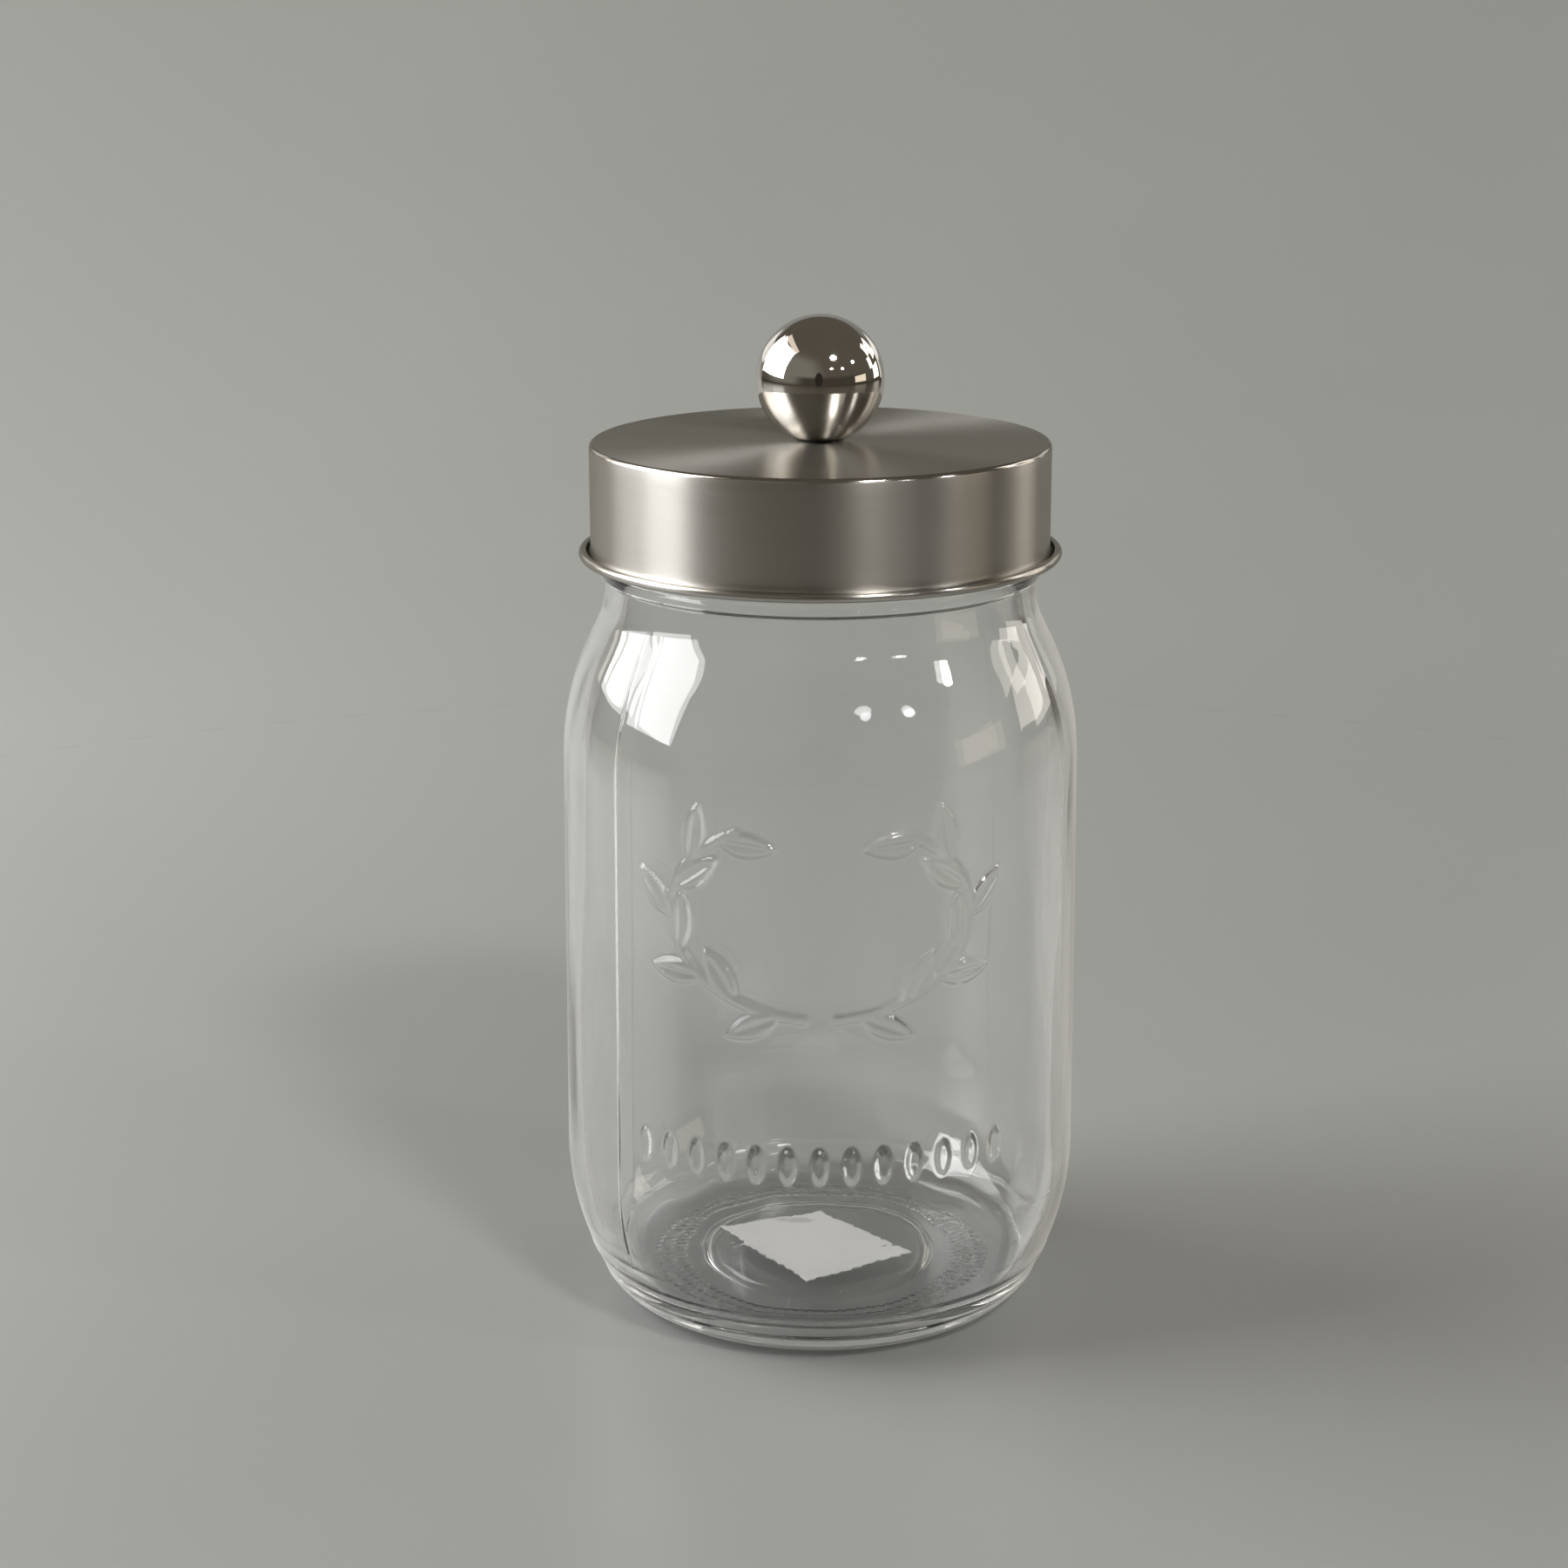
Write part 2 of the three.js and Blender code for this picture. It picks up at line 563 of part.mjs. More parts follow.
/** A ball with a flat to stand on and a blind hole for the screw. */
function knobBall() {
  const flatRadius = Math.sqrt(BALL_RADIUS ** 2 - BALL_FLAT_DROP ** 2);
  const start = Math.atan2(-BALL_FLAT_DROP, flatRadius);
  const arc = repeated(BALL_STEPS, (k) => {
    const angle = THREE.MathUtils.lerp(start, Math.PI / 2, k / BALL_STEPS);
    return new THREE.Vector2(BALL_RADIUS * Math.cos(angle), BALL_CENTRE + BALL_RADIUS * Math.sin(angle));
  });
  return revolved([
    new THREE.Vector2(0, BALL_FLAT + BALL_HOLE_DEPTH + BALL_DRILL_POINT),
    new THREE.Vector2(SCREW_HOLE_RADIUS, BALL_FLAT + BALL_HOLE_DEPTH),
    new THREE.Vector2(SCREW_HOLE_RADIUS, BALL_FLAT),
    ...arc,
    new THREE.Vector2(0, BALL_CENTRE + BALL_RADIUS),
  ], KNOB_SIDES);
}

/** Pan-head screw, head down, with grooves for its thread and a cross recess. */
function knobScrew() {
  const tip = BALL_FLAT + SCREW_REACH;
  const head = SCREW_SEAT - SCREW_HEAD_HEIGHT;
  const pitch = (SCREW_REACH - SCREW_TIP_CHAMFER) / SCREW_GROOVES;
  const thread = repeated(SCREW_GROOVES, (i) => [
    [SCREW_RADIUS, BALL_FLAT + i * pitch],
    [SCREW_RADIUS - SCREW_GROOVE_DEPTH, BALL_FLAT + (i + 0.5) * pitch],
  ]);
  const body = toManifold(revolved(filleted([
    [0, head],
    [SCREW_HEAD_RADIUS, head, SCREW_HEAD_FILLET],
    [SCREW_HEAD_RADIUS, SCREW_SEAT],
    [SCREW_RADIUS, SCREW_SEAT],
    ...thread.flat(),
    [SCREW_RADIUS, tip - SCREW_TIP_CHAMFER],
    [SCREW_RADIUS - SCREW_TIP_CHAMFER, tip],
    [0, tip],
  ]), SCREW_SIDES));
  const arm = (turn) => {
    const slot = new THREE.BoxGeometry(RECESS_SPAN, RECESS_WIDTH, RECESS_DEPTH * 2);
    slot.rotateZ(turn);
    slot.translate(0, 0, head);
    return toManifold(slot);
  };
  return fromManifold(body.subtract(arm(0)).subtract(arm(Math.PI / 2)));
}

function washer(top, thickness, radius) {
  return revolved([
    new THREE.Vector2(SCREW_HOLE_RADIUS, top - thickness),
    new THREE.Vector2(radius, top - thickness),
    new THREE.Vector2(radius, top),
    new THREE.Vector2(SCREW_HOLE_RADIUS, top),
  ], SCREW_SIDES);
}

/** A ring with a slanted slit, made by a block that is longer and taller than what it cuts. */
function springWasher() {
  const ring = toManifold(washer(SPRING_WASHER_TOP, SPRING_WASHER_THICKNESS, SPRING_WASHER_RADIUS));
  const block = [2 * SPRING_WASHER_RADIUS, SPRING_WASHER_SLIT, 4 * SPRING_WASHER_THICKNESS];
  const slit = new THREE.BoxGeometry(...block);
  slit.translate(SPRING_WASHER_RADIUS, 0, 0);
  slit.rotateX(SPRING_WASHER_SLANT * DEG);
  slit.translate(0, 0, SPRING_WASHER_TOP - SPRING_WASHER_THICKNESS / 2);
  return fromManifold(ring.subtract(toManifold(slit)));
}

// ---------------------------------------------------------------- assembly

function piece(name, geometry, material) {
  const mesh = new THREE.Mesh(geometry, material.clone());
  mesh.name = name;
  return mesh;
}

const jar = new THREE.Group();
jar.add(
  piece('glass_jar', glassJar(), FINISHES.glass),
  piece('base_label', baseLabel(), FINISHES.paper),
);

const lid = new THREE.Group();
lid.add(
  piece('lid_shell', lidShell(), FINISHES.brushed),
  piece('lid_gasket', lidGasket(), FINISHES.silicone),
  piece('knob_ball', knobBall(), FINISHES.polished),
  piece('knob_screw', knobScrew(), FINISHES.zinc),
  piece('flat_washer', washer(FLAT_WASHER_TOP, FLAT_WASHER_THICKNESS, FLAT_WASHER_RADIUS), FINISHES.zinc),
  piece('spring_washer', springWasher(), FINISHES.zinc),
);

const canister = new THREE.Group();
canister.add(jar, lid);

export default canister;
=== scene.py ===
"""A clear pressed-glass canister with a spun steel slip-on lid and a polished ball knob.

Everything is in metres, +Z up, with the front of the jar towards -Y. Sizes of the pieces are given in
millimetres as fields of their classes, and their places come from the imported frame.
"""

import logging
from collections.abc import Callable, Sequence
from dataclasses import dataclass, field
from enum import Enum
from math import atan2, ceil, cos, exp, pi, radians, sin, sqrt, tan
from typing import Any

import bmesh
import bpy
import numpy as np
from mathutils import Matrix, Vector


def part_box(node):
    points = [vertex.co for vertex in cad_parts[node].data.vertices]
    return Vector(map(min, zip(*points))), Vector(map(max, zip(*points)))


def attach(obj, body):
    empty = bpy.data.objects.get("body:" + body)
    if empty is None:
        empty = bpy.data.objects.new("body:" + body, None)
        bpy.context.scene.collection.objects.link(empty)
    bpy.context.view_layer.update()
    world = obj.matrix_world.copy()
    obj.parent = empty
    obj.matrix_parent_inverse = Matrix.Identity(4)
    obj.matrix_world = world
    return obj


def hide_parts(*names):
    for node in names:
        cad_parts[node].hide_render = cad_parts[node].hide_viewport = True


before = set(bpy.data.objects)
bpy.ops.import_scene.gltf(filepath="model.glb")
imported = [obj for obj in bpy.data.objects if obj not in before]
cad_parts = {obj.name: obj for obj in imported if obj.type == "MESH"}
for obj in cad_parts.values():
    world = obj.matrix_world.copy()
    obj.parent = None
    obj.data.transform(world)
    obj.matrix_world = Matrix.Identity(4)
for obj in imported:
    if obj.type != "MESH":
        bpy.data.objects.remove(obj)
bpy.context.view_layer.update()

MM = 0.001
TINY = 1e-6
STRAIGHT = 0.01  # radians: a bend under twice this isn't rounded
FEWEST_CHORDS = 3
FRONT = -pi / 2
SEAM_AZIMUTH = 40.5  # degrees: the mould parts along this line and its other half
SCREW_HOLE_RADIUS = 2.32  # millimetres: in the lid and in the ball alike
Colour = tuple[float, float, float]
Corner = tuple[float, float, float]
Range = tuple[float, float]
log = logging.getLogger("canister")


class Body(Enum):
    """The two bodies that the pieces ride on."""

    JAR = "jar"
    LID = "lid"


class Slot(Enum):
    """Material slots of the record."""

    GLASS = "clear_glass"
    PAPER = "label_paper"
    BRUSHED = "brushed_steel"
    POLISHED = "polished_steel"
    SILICONE = "silicone"
    PLATED = "plated_steel"


class LampShape(Enum):
    """Outlines of the lamps' faces."""

    SQUARE = "RECTANGLE"
    ROUND = "ELLIPSE"


# ------------------------------------------------------------------------------------ shader graphs


class Socket:
    """An output of a shader node that takes part in expressions. Each operator adds a Math node."""

    def __init__(self, graph: "Graph", output: bpy.types.NodeSocket) -> None:
        """Wraps an output of a node in a graph."""
        self.graph = graph
        self.output = output

    def _math(self, operation: str, *values: "Socket | float") -> "Socket":
        """Adds one Math node.

        Args:
            operation: Blender's name for the operation.
            values: what goes into it, in order.

        Returns:
            The node's output.
        """
        return self.graph.node("ShaderNodeMath", {"operation": operation}, dict(enumerate(values)))

    def __add__(self, other: "Socket | float") -> "Socket":
        """This value plus another."""
        return self._math("ADD", self, other)

    __radd__ = __add__

    def __sub__(self, other: "Socket | float") -> "Socket":
        """This value less another."""
        return self._math("SUBTRACT", self, other)

    def __rsub__(self, other: float) -> "Socket":
        """A number less this value."""
        return self._math("SUBTRACT", other, self)

    def __mul__(self, other: "Socket | float") -> "Socket":
        """This value times another."""
        return self._math("MULTIPLY", self, other)

    __rmul__ = __mul__

    def __truediv__(self, other: "Socket | float") -> "Socket":
        """This value divided by another."""
        return self._math("DIVIDE", self, other)

    def __pow__(self, other: float) -> "Socket":
        """This value to a power."""
        return self._math("POWER", self, other)

    def __abs__(self) -> "Socket":
        """This value without its sign."""
        return self._math("ABSOLUTE", self)

    def step(self, start: float, end: float) -> "Socket":
        """A smooth change from 0 at start to 1 at end. Start may be the larger of the two.

        Args:
            start: the value at which the result is 0. It may be the larger of the two.
            end: the value at which it is 1.

        Returns:
            The soft change between them, flat beyond them.
        """
        low, high = sorted((start, end))
        rise = self.graph.node(
            "ShaderNodeMapRange",
            {"interpolation_type": "SMOOTHSTEP"},
            {"Value": self, "From Min": low, "From Max": high},
        )
        return rise if start < end else 1 - rise


class Graph:
    """A node tree that is built with expressions."""

    def __init__(self, tree: bpy.types.NodeTree) -> None:
        """Empties a node tree and builds in it from then on."""
        self.tree = tree
        tree.nodes.clear()

    def node(
        self,
        kind: str,
        settings: dict[str, Any] | None = None,
        sockets: dict[str | int, Any] | None = None,
        output: str | int = 0,
    ) -> Socket:
        """Adds a node.

        Args:
            kind: the node's type.
            settings: the node's properties, set first. A ramp's "stops" are (place, colour) pairs.
            sockets: numbers, colours or links for its inputs, by name or by number.
            output: the output to return.

        Returns:
            That output.
        """
        node = self.tree.nodes.new(kind)
        for name, value in (settings or {}).items():
            if name == "stops":
                self._stops(node.color_ramp, value)
            else:
                setattr(node, name, value)
        for name, value in (sockets or {}).items():
            if isinstance(value, Socket):
                self.tree.links.new(value.output, node.inputs[name])
            elif isinstance(value, tuple) and len(node.inputs[name].default_value) == 4:
                node.inputs[name].default_value = (*value, 1.0)
            else:
                node.inputs[name].default_value = value
        return Socket(self, node.outputs[output] if node.outputs else None)

    @staticmethod
    def _stops(ramp: bpy.types.ColorRamp, stops: Sequence[tuple[float, Colour]]) -> None:
        """Gives a ramp its stops.

        Args:
            ramp: the ramp, which has two stops at first.
            stops: two or more pairs of a place and a colour.
        """
        while len(ramp.elements) < len(stops):
            ramp.elements.new(1.0)
        for element, (place, colour) in zip(ramp.elements, stops):
            element.position = place
            element.color = (*colour, 1.0)

    def mix(self, share: Socket, first: "Colour | Socket", second: "Colour | Socket") -> Socket:
        """Mixes two colours: the first where share is 0 and the second where it is 1."""
        settings = {"data_type": "RGBA"}
        return self.node("ShaderNodeMix", settings, {0: share, 6: first, 7: second}, output=2)

    def place(self) -> Socket:
        """The point on the surface, in metres, in the frame's own axes."""
        return self.node("ShaderNodeTexCoord", output="Object")

    def axes(self, point: Socket) -> tuple[Socket, Socket, Socket]:
        """The three components of a vector."""
        split = self.node("ShaderNodeSeparateXYZ", sockets={0: point}).output.node
        return tuple(Socket(self, output) for output in split.outputs)

    def vector(self, x: "Socket | float", y: "Socket | float", z: "Socket | float") -> Socket:
        """A vector of three values."""
        return self.node("ShaderNodeCombineXYZ", sockets={0: x, 1: y, 2: z})

    def noise(self, point: Socket, scale: float, detail: float = 2.0, warp: float = 0.0) -> Socket:
        """Cloudy noise around 0.5.

        Args:
            point: where it is sampled.
            scale: features per metre, roughly.
            detail: octaves.
            warp: how far the pattern is bent by itself.

        Returns:
            The noise value.
        """
        sockets = {"Vector": point, "Scale": scale, "Detail": detail, "Distortion": warp}
        return self.node("ShaderNodeTexNoise", sockets=sockets)

    def bump(self, height: Socket, depth: float) -> Socket:
        """A normal for a height field in which 1 stands depth metres high."""
        sockets = {"Height": height, "Distance": depth, "Strength": 1.0}
        return self.node("ShaderNodeBump", sockets=sockets)


@dataclass(frozen=True)
class Finish:
    """A finish. Each kind builds its own shader.

    In all of them places and depths are in metres, scales in features per metre, and a range gives
    where something starts and where it is whole.
    """

    name: str = "finish"

    def material(self) -> bpy.types.Material:
        """Builds the material.

        Returns:
            A material with its whole node tree.
        """
        material = bpy.data.materials.new(self.name)
        material.use_nodes = True
        graph = Graph(material.node_tree)
        graph.node("ShaderNodeOutputMaterial", sockets={"Surface": self.surface(graph)})
        return material

    def surface(self, graph: Graph) -> Socket:
        """Builds the surface shader in a graph and returns its output."""
        raise NotImplementedError

    @staticmethod
    def principled(graph: Graph, **sockets: Any) -> Socket:
        """A Principled shader, whose sockets are given with underscores for spaces."""
        named = {name.replace("_", " "): value for name, value in sockets.items()}
        return graph.node("ShaderNodeBsdfPrincipled", sockets=named)


@dataclass(frozen=True)
class ClearGlass(Finish):
    """Pressed soda glass with a slow ripple, a few finger smears and a pale film that shows edge-on: partly
    dust haze, mostly a painted highlight that brightens its edges.
    """

    name: str = "clear_pressed_glass"
    index: float = 1.5
    tint: Colour = (0.99, 0.992, 0.988)
    ripple: float = 0.00006
    slow_scale: float = 90.0
    quick_scale: float = 260.0
    quick_share: float = 0.18
    drawn: float = 0.45
    smear_scale: float = 45.0
    smear_from: Range = (0.55, 0.75)
    smear_haze: float = 0.035
    seam_azimuth: float = radians(SEAM_AZIMUTH)
    seam_from: Range = (0.0003, 0.00012)
    outer_from: Range = (0.0390, 0.0405)
    heel_from: Range = (0.016, 0.022)
    left_from: Range = (0.0, -0.01)
    right_from: Range = (0.0, 0.03)
    foot_from: Range = (0.024, 0.008)
    # painted highlight: a pale diffuse film, mixed in edge-on, paints bright edges, stronger on the right
    # side, at the foot and along the left seam
    painted_edge_film: Colour = (0.92, 0.92, 0.90)
    painted_edge_from: Range = (0.5, 0.95)
    painted_edge_left: float = 0.2
    painted_edge_right: float = 0.6
    painted_edge_foot: float = 0.35
    painted_seam_highlight: float = 0.3

    def surface(self, graph: Graph) -> Socket:
        """Clear glass, less clear where fingers have been, with a pale film that paints highlights along the
        left seam and where it is seen edge-on, most on the right and at the foot.

        Args:
            graph: the material's graph, which takes the nodes.

        Returns:
            The shader.
        """
        place = graph.place()
        x, y, z = graph.axes(place)
        drawn = graph.vector(x, y, z * self.drawn)
        quick = graph.noise(drawn, self.quick_scale, detail=1.0) * self.quick_share
        ripple = graph.noise(drawn, self.slow_scale, detail=1.0) + quick
        smear = graph.noise(place, self.smear_scale, detail=3.0, warp=0.6).step(*self.smear_from)
        clear = self.principled(
            graph,
            Base_Color=self.tint,
            Transmission_Weight=1.0,
            IOR=self.index,
            Roughness=smear * self.smear_haze,
            Normal=graph.bump(ripple, self.ripple),
        )
        # painted highlight: the pale film brightens the glass where it is seen edge-on, with a painted line
        # along the left seam
        painted_edge_film = graph.node("ShaderNodeBsdfDiffuse", sockets={"Color": self.painted_edge_film})
        grazing = graph.node("ShaderNodeLayerWeight", sockets={"Blend": 0.5}, output="Facing")
        painted_edge_share = x.step(*self.right_from) * (self.painted_edge_right - self.painted_edge_left) + self.painted_edge_left
        painted_edge_share = painted_edge_share + z.step(*self.foot_from) * self.painted_edge_foot
        # painted highlight along the left seam
        seam = self.seam(x, y, z) * x.step(*self.left_from) * self.painted_seam_highlight
        share = grazing.step(*self.painted_edge_from) * painted_edge_share + seam
        return graph.node("ShaderNodeMixShader", sockets={0: share, 1: clear, 2: painted_edge_film})

    def seam(self, x: Socket, y: Socket, z: Socket) -> Socket:
        """Marks the mould's seams on the outer wall, above the heel.

        Args:
            x: place across the front.
            y: place from front to back.
            z: height.

        Returns:
            1 on the seams and 0 beside them.
        """
        aside = abs(y * cos(self.seam_azimuth) - x * sin(self.seam_azimuth))
        outer = ((x * x + y * y) ** 0.5).step(*self.outer_from) * z.step(*self.heel_from)
        return aside.step(*self.seam_from) * outer


@dataclass(frozen=True)
class BrushedSteel(Finish):
    """Steel spun on a lathe and brushed as it turned, so its grain runs round the axis."""

    name: str = "spun_brushed_steel"
    colour: Colour = (0.49, 0.475, 0.445)
    worn: Colour = (0.58, 0.565, 0.535)
    edge: Colour = (0.62, 0.60, 0.56)
    grain: float = 0.0000022
    grain_turn: float = 0.0016
    fine_scale: float = 5200.0
    coarse_scale: float = 900.0
    coarse_relief: float = 0.6
    coarse_wear: float = 0.45
    scuff_scale: float = 2600.0
    scuff_from: Range = (0.66, 0.78)
    scuff_wear: float = 0.5
    patch_scale: float = 70.0
    patch_from: Range = (0.5, 0.7)
    dullness: float = 0.27
    uneven: float = 0.06
    spread: float = 0.82
    spread_turn: float = 0.25
    roll_from: Range = (0.0361, 0.0365)
    roll_shine: float = 0.25
    corner_from: Range = (0.1753, 0.1755)
    corner_shine: float = 0.6

    def surface(self, graph: Graph) -> Socket:
        """Steel whose highlight spreads across the grain, brighter on the roll and along the corner.

        Args:
            graph: the material's graph, which takes the nodes.

        Returns:
            The shader.
        """
        place = graph.place()
        x, y, z = graph.axes(place)
        radius = (x * x + y * y) ** 0.5
        turn = graph.vector(x / radius * self.grain_turn, y / radius * self.grain_turn, radius + z)
        fine = graph.noise(turn, self.fine_scale)
        coarse = graph.noise(turn, self.coarse_scale)
        patches = graph.noise(place, self.patch_scale, detail=3.0, warp=0.4)
        scuff = graph.noise(turn, self.scuff_scale, detail=1.0).step(*self.scuff_from)
        scuff = scuff * patches.step(*self.patch_from)
        roll = radius.step(*self.roll_from) * self.roll_shine
        corner = (radius + z).step(*self.corner_from) * self.corner_shine
        worn = coarse * self.coarse_wear + scuff * self.scuff_wear
        dull = self.dullness + fine * self.uneven + patches * self.uneven
        return self.principled(
            graph,
            Base_Color=graph.mix(worn, self.colour, self.worn),
            Metallic=1.0,
            Roughness=dull * (1 - (roll + corner)),
            Specular_Tint=self.edge,
            Anisotropic=self.spread,
            Anisotropic_Rotation=self.spread_turn,
            Normal=graph.bump(fine + coarse * self.coarse_relief, self.grain),
        )


@dataclass(frozen=True)
class PolishedSteel(Finish):
    """Mirror-polished steel with faint handling marks."""

    name: str = "polished_ball_steel"
    colour: Colour = (0.67, 0.645, 0.61)
    hazy: Colour = (0.72, 0.70, 0.67)
    haze_scale: float = 160.0
    haze_from: Range = (0.5, 0.8)
    haze_dulls: float = 0.05
    mark_scale: float = 1400.0
    mark_from: Range = (0.62, 0.8)
    mark_dulls: float = 0.04
    dullness: float = 0.035
    ripple: float = 0.000004

    def surface(self, graph: Graph) -> Socket:
        """A mirror with a little haze where it is touched.

        Args:
            graph: the material's graph, which takes the nodes.

        Returns:
            The shader.
        """
        place = graph.place()
        haze = graph.noise(place, self.haze_scale, detail=4.0, warp=0.8)
        marks = graph.noise(place, self.mark_scale).step(*self.mark_from) * self.mark_dulls
        return self.principled(
            graph,
            Base_Color=graph.mix(haze, self.colour, self.hazy),
            Metallic=1.0,
            Roughness=self.dullness + haze.step(*self.haze_from) * self.haze_dulls + marks,
            Normal=graph.bump(haze, self.ripple),
        )


@dataclass(frozen=True)
class PlatedSteel(Finish):
    """Zinc-plated hardware with a slightly mottled skin."""

    name: str = "zinc_plated_hardware"
    dull: Colour = (0.52, 0.53, 0.54)
    bright: Colour = (0.70, 0.71, 0.72)
    spot_scale: float = 900.0
    spot_from: Range = (0.35, 0.7)
    spot_dulls: float = 0.22
    dullness: float = 0.24
    relief: float = 0.00002

    def surface(self, graph: Graph) -> Socket:
        """Bright grey metal, dulled in spots.

        Args:
            graph: the material's graph, which takes the nodes.

        Returns:
            The shader.
        """
        spots = graph.noise(graph.place(), self.spot_scale, detail=4.0, warp=0.5)
        return self.principled(
            graph,
            Base_Color=graph.mix(spots.step(*self.spot_from), self.dull, self.bright),
            Metallic=1.0,
            Roughness=self.dullness + spots * self.spot_dulls,
            Normal=graph.bump(spots, self.relief),
        )


@dataclass(frozen=True)
class Silicone(Finish):
    """Milky silicone rubber."""

    name: str = "milky_silicone"
    shade: Colour = (0.66, 0.67, 0.65)
    pale: Colour = (0.74, 0.74, 0.72)
    cloud_scale: float = 120.0
    dust_scale: float = 800.0
    dust_dulls: float = 0.2
    dullness: float = 0.42
    milkiness: float = 0.15
    reach: float = 0.002
    relief: float = 0.00003

    def surface(self, graph: Graph) -> Socket:
        """Soft off-white rubber with a fine grain and some dust.

        Args:
            graph: the material's graph, which takes the nodes.

        Returns:
            The shader.
        """
        place = graph.place()
        dust = graph.noise(place, self.dust_scale, detail=4.0)
        return self.principled(
            graph,
            Base_Color=graph.mix(graph.noise(place, self.cloud_scale), self.shade, self.pale),
            Roughness=self.dullness + dust * self.dust_dulls,
            Subsurface_Weight=self.milkiness,
            Subsurface_Radius=(self.reach, self.reach, self.reach),
            Normal=graph.bump(dust, self.relief),
        )


@dataclass(frozen=True)
class LabelPaper(Finish):
    """Uncoated white paper with loose fibres and a soft grey mark near one edge."""

    name: str = "blank_label_paper"
    shade: Colour = (0.78, 0.775, 0.755)
    white: Colour = (0.86, 0.855, 0.84)
    tone_scale: float = 260.0
    fibre_scale: float = 3800.0
    fibre_drawn: float = 0.4
    fibre_dulls: float = 0.1
    dullness: float = 0.85
    relief: float = 0.00005
    grey_mark: Colour = (0.42, 0.42, 0.41)
    grey_mark_share: float = 0.55
    grey_mark_place: tuple[float, float] = (-0.0042, 0.0062)
    grey_mark_half: tuple[float, float] = (0.0042, 0.0016)
    grey_mark_scale: float = 1500.0
    grey_mark_ragged: float = 1.2
    grey_mark_from: Range = (1.5, 0.7)

    def surface(self, graph: Graph) -> Socket:
        """Matt white with a soft fibre relief.

        Args:
            graph: the material's graph, which takes the nodes.

        Returns:
            The shader.
        """
        place = graph.place()
        x, y, _ = graph.axes(place)
        drawn = graph.vector(x, y * self.fibre_drawn, 0.0)
        fibre = graph.noise(drawn, self.fibre_scale, detail=4.0, warp=1.2)
        across = (x - self.grey_mark_place[0]) / self.grey_mark_half[0]
        along = (y - self.grey_mark_place[1]) / self.grey_mark_half[1]
        ragged = graph.noise(place, self.grey_mark_scale) * self.grey_mark_ragged
        grey_marked = (across * across + along * along + ragged).step(*self.grey_mark_from) * self.grey_mark_share
        paper = graph.mix(graph.noise(place, self.tone_scale, detail=3.0), self.shade, self.white)
        return self.principled(
            graph,
            Base_Color=graph.mix(grey_marked, paper, self.grey_mark),
            Roughness=self.dullness + fibre * self.fibre_dulls,
            Normal=graph.bump(fibre, self.relief),
        )


@dataclass(frozen=True)
class Backdrop(Finish):
    """Satin grey studio sheet with painted light on it: brighter towards the back and the left, lighter
    right of the jar's foot, and painted shadow darkening its front end and its sides. Sizes are in metres.
    """

    name: str = "grey_backdrop"
    colour: Colour = (0.316, 0.323, 0.314)
    darkest: float = 0.84
    lightest: float = 1.16
    tone: float = 0.32
    mottle: float = 0.16
    mottle_scale: float = 9.0
    # painted light: a painted falloff, brighter towards the back and darker towards the right, and a painted
    # pool of light right of the jar's foot
    painted_back_from: Range = (0.0, 0.5)
    painted_back_light: float = 0.45
    painted_right_shade: float = 1.3
    painted_near_right_from: Range = (-0.03, 0.07)
    painted_near_right_light: float = 0.3
    painted_near_right_fade: Range = (-0.02, 0.35)
    painted_near_right_kept: float = 0.7
    # painted shade: dark colours for the sheet's sides and its front end, where painted shadow stands for a
    # figure in front
    painted_side_shade: Colour = (0.075, 0.070, 0.058)
    painted_front_shadow: Colour = (0.082, 0.073, 0.056)
    painted_shadow_from: Range = (-0.12, -0.45)
    painted_side_shade_from: Range = (0.26, 0.5)
    view_spread: float = 0.35
    dullness: float = 0.36
    mottle_dulls: float = 0.1

    def surface(self, graph: Graph) -> Socket:
        """A grey with a barely visible mottle and painted light: brighter towards the back, darker towards
        the right, lighter right of the foot, and painted shadow at its front end and sides.

        Args:
            graph: the material's graph, which takes the nodes.

        Returns:
            The shader.
        """
        place = graph.place()
        x, y, _ = graph.axes(place)
        mottle = graph.noise(place, self.mottle_scale, detail=5.0)
        darker = tuple(part * self.darkest for part in self.colour)
        lighter = tuple(part * self.lightest for part in self.colour)
        # painted light: a lighter patch on the floor right of the jar's foot, fading towards the back
        near_right_paint = x.step(*self.painted_near_right_from) * (1 - y.step(*self.painted_near_right_fade) * self.painted_near_right_kept)
        # painted light falloff: brighter towards the back wall and darker towards the right
        tone = self.tone + (mottle - 0.5) * self.mottle + y.step(*self.painted_back_from) * self.painted_back_light
        tone = tone - x * self.painted_right_shade + near_right_paint * self.painted_near_right_light
        # painted shade: the sheet darkens towards its sides
        side = (abs(x) - y * self.view_spread).step(*self.painted_side_shade_from)
        sheet = graph.mix(side, graph.mix(tone, darker, lighter), self.painted_side_shade)
        return self.principled(
            graph,
            # painted shadow: the sheet darkens towards its front end
            Base_Color=graph.mix(y.step(*self.painted_shadow_from), sheet, self.painted_front_shadow),
            Roughness=self.dullness + mottle * self.mottle_dulls,
        )


# ------------------------------------------------------------------------------------- outlines


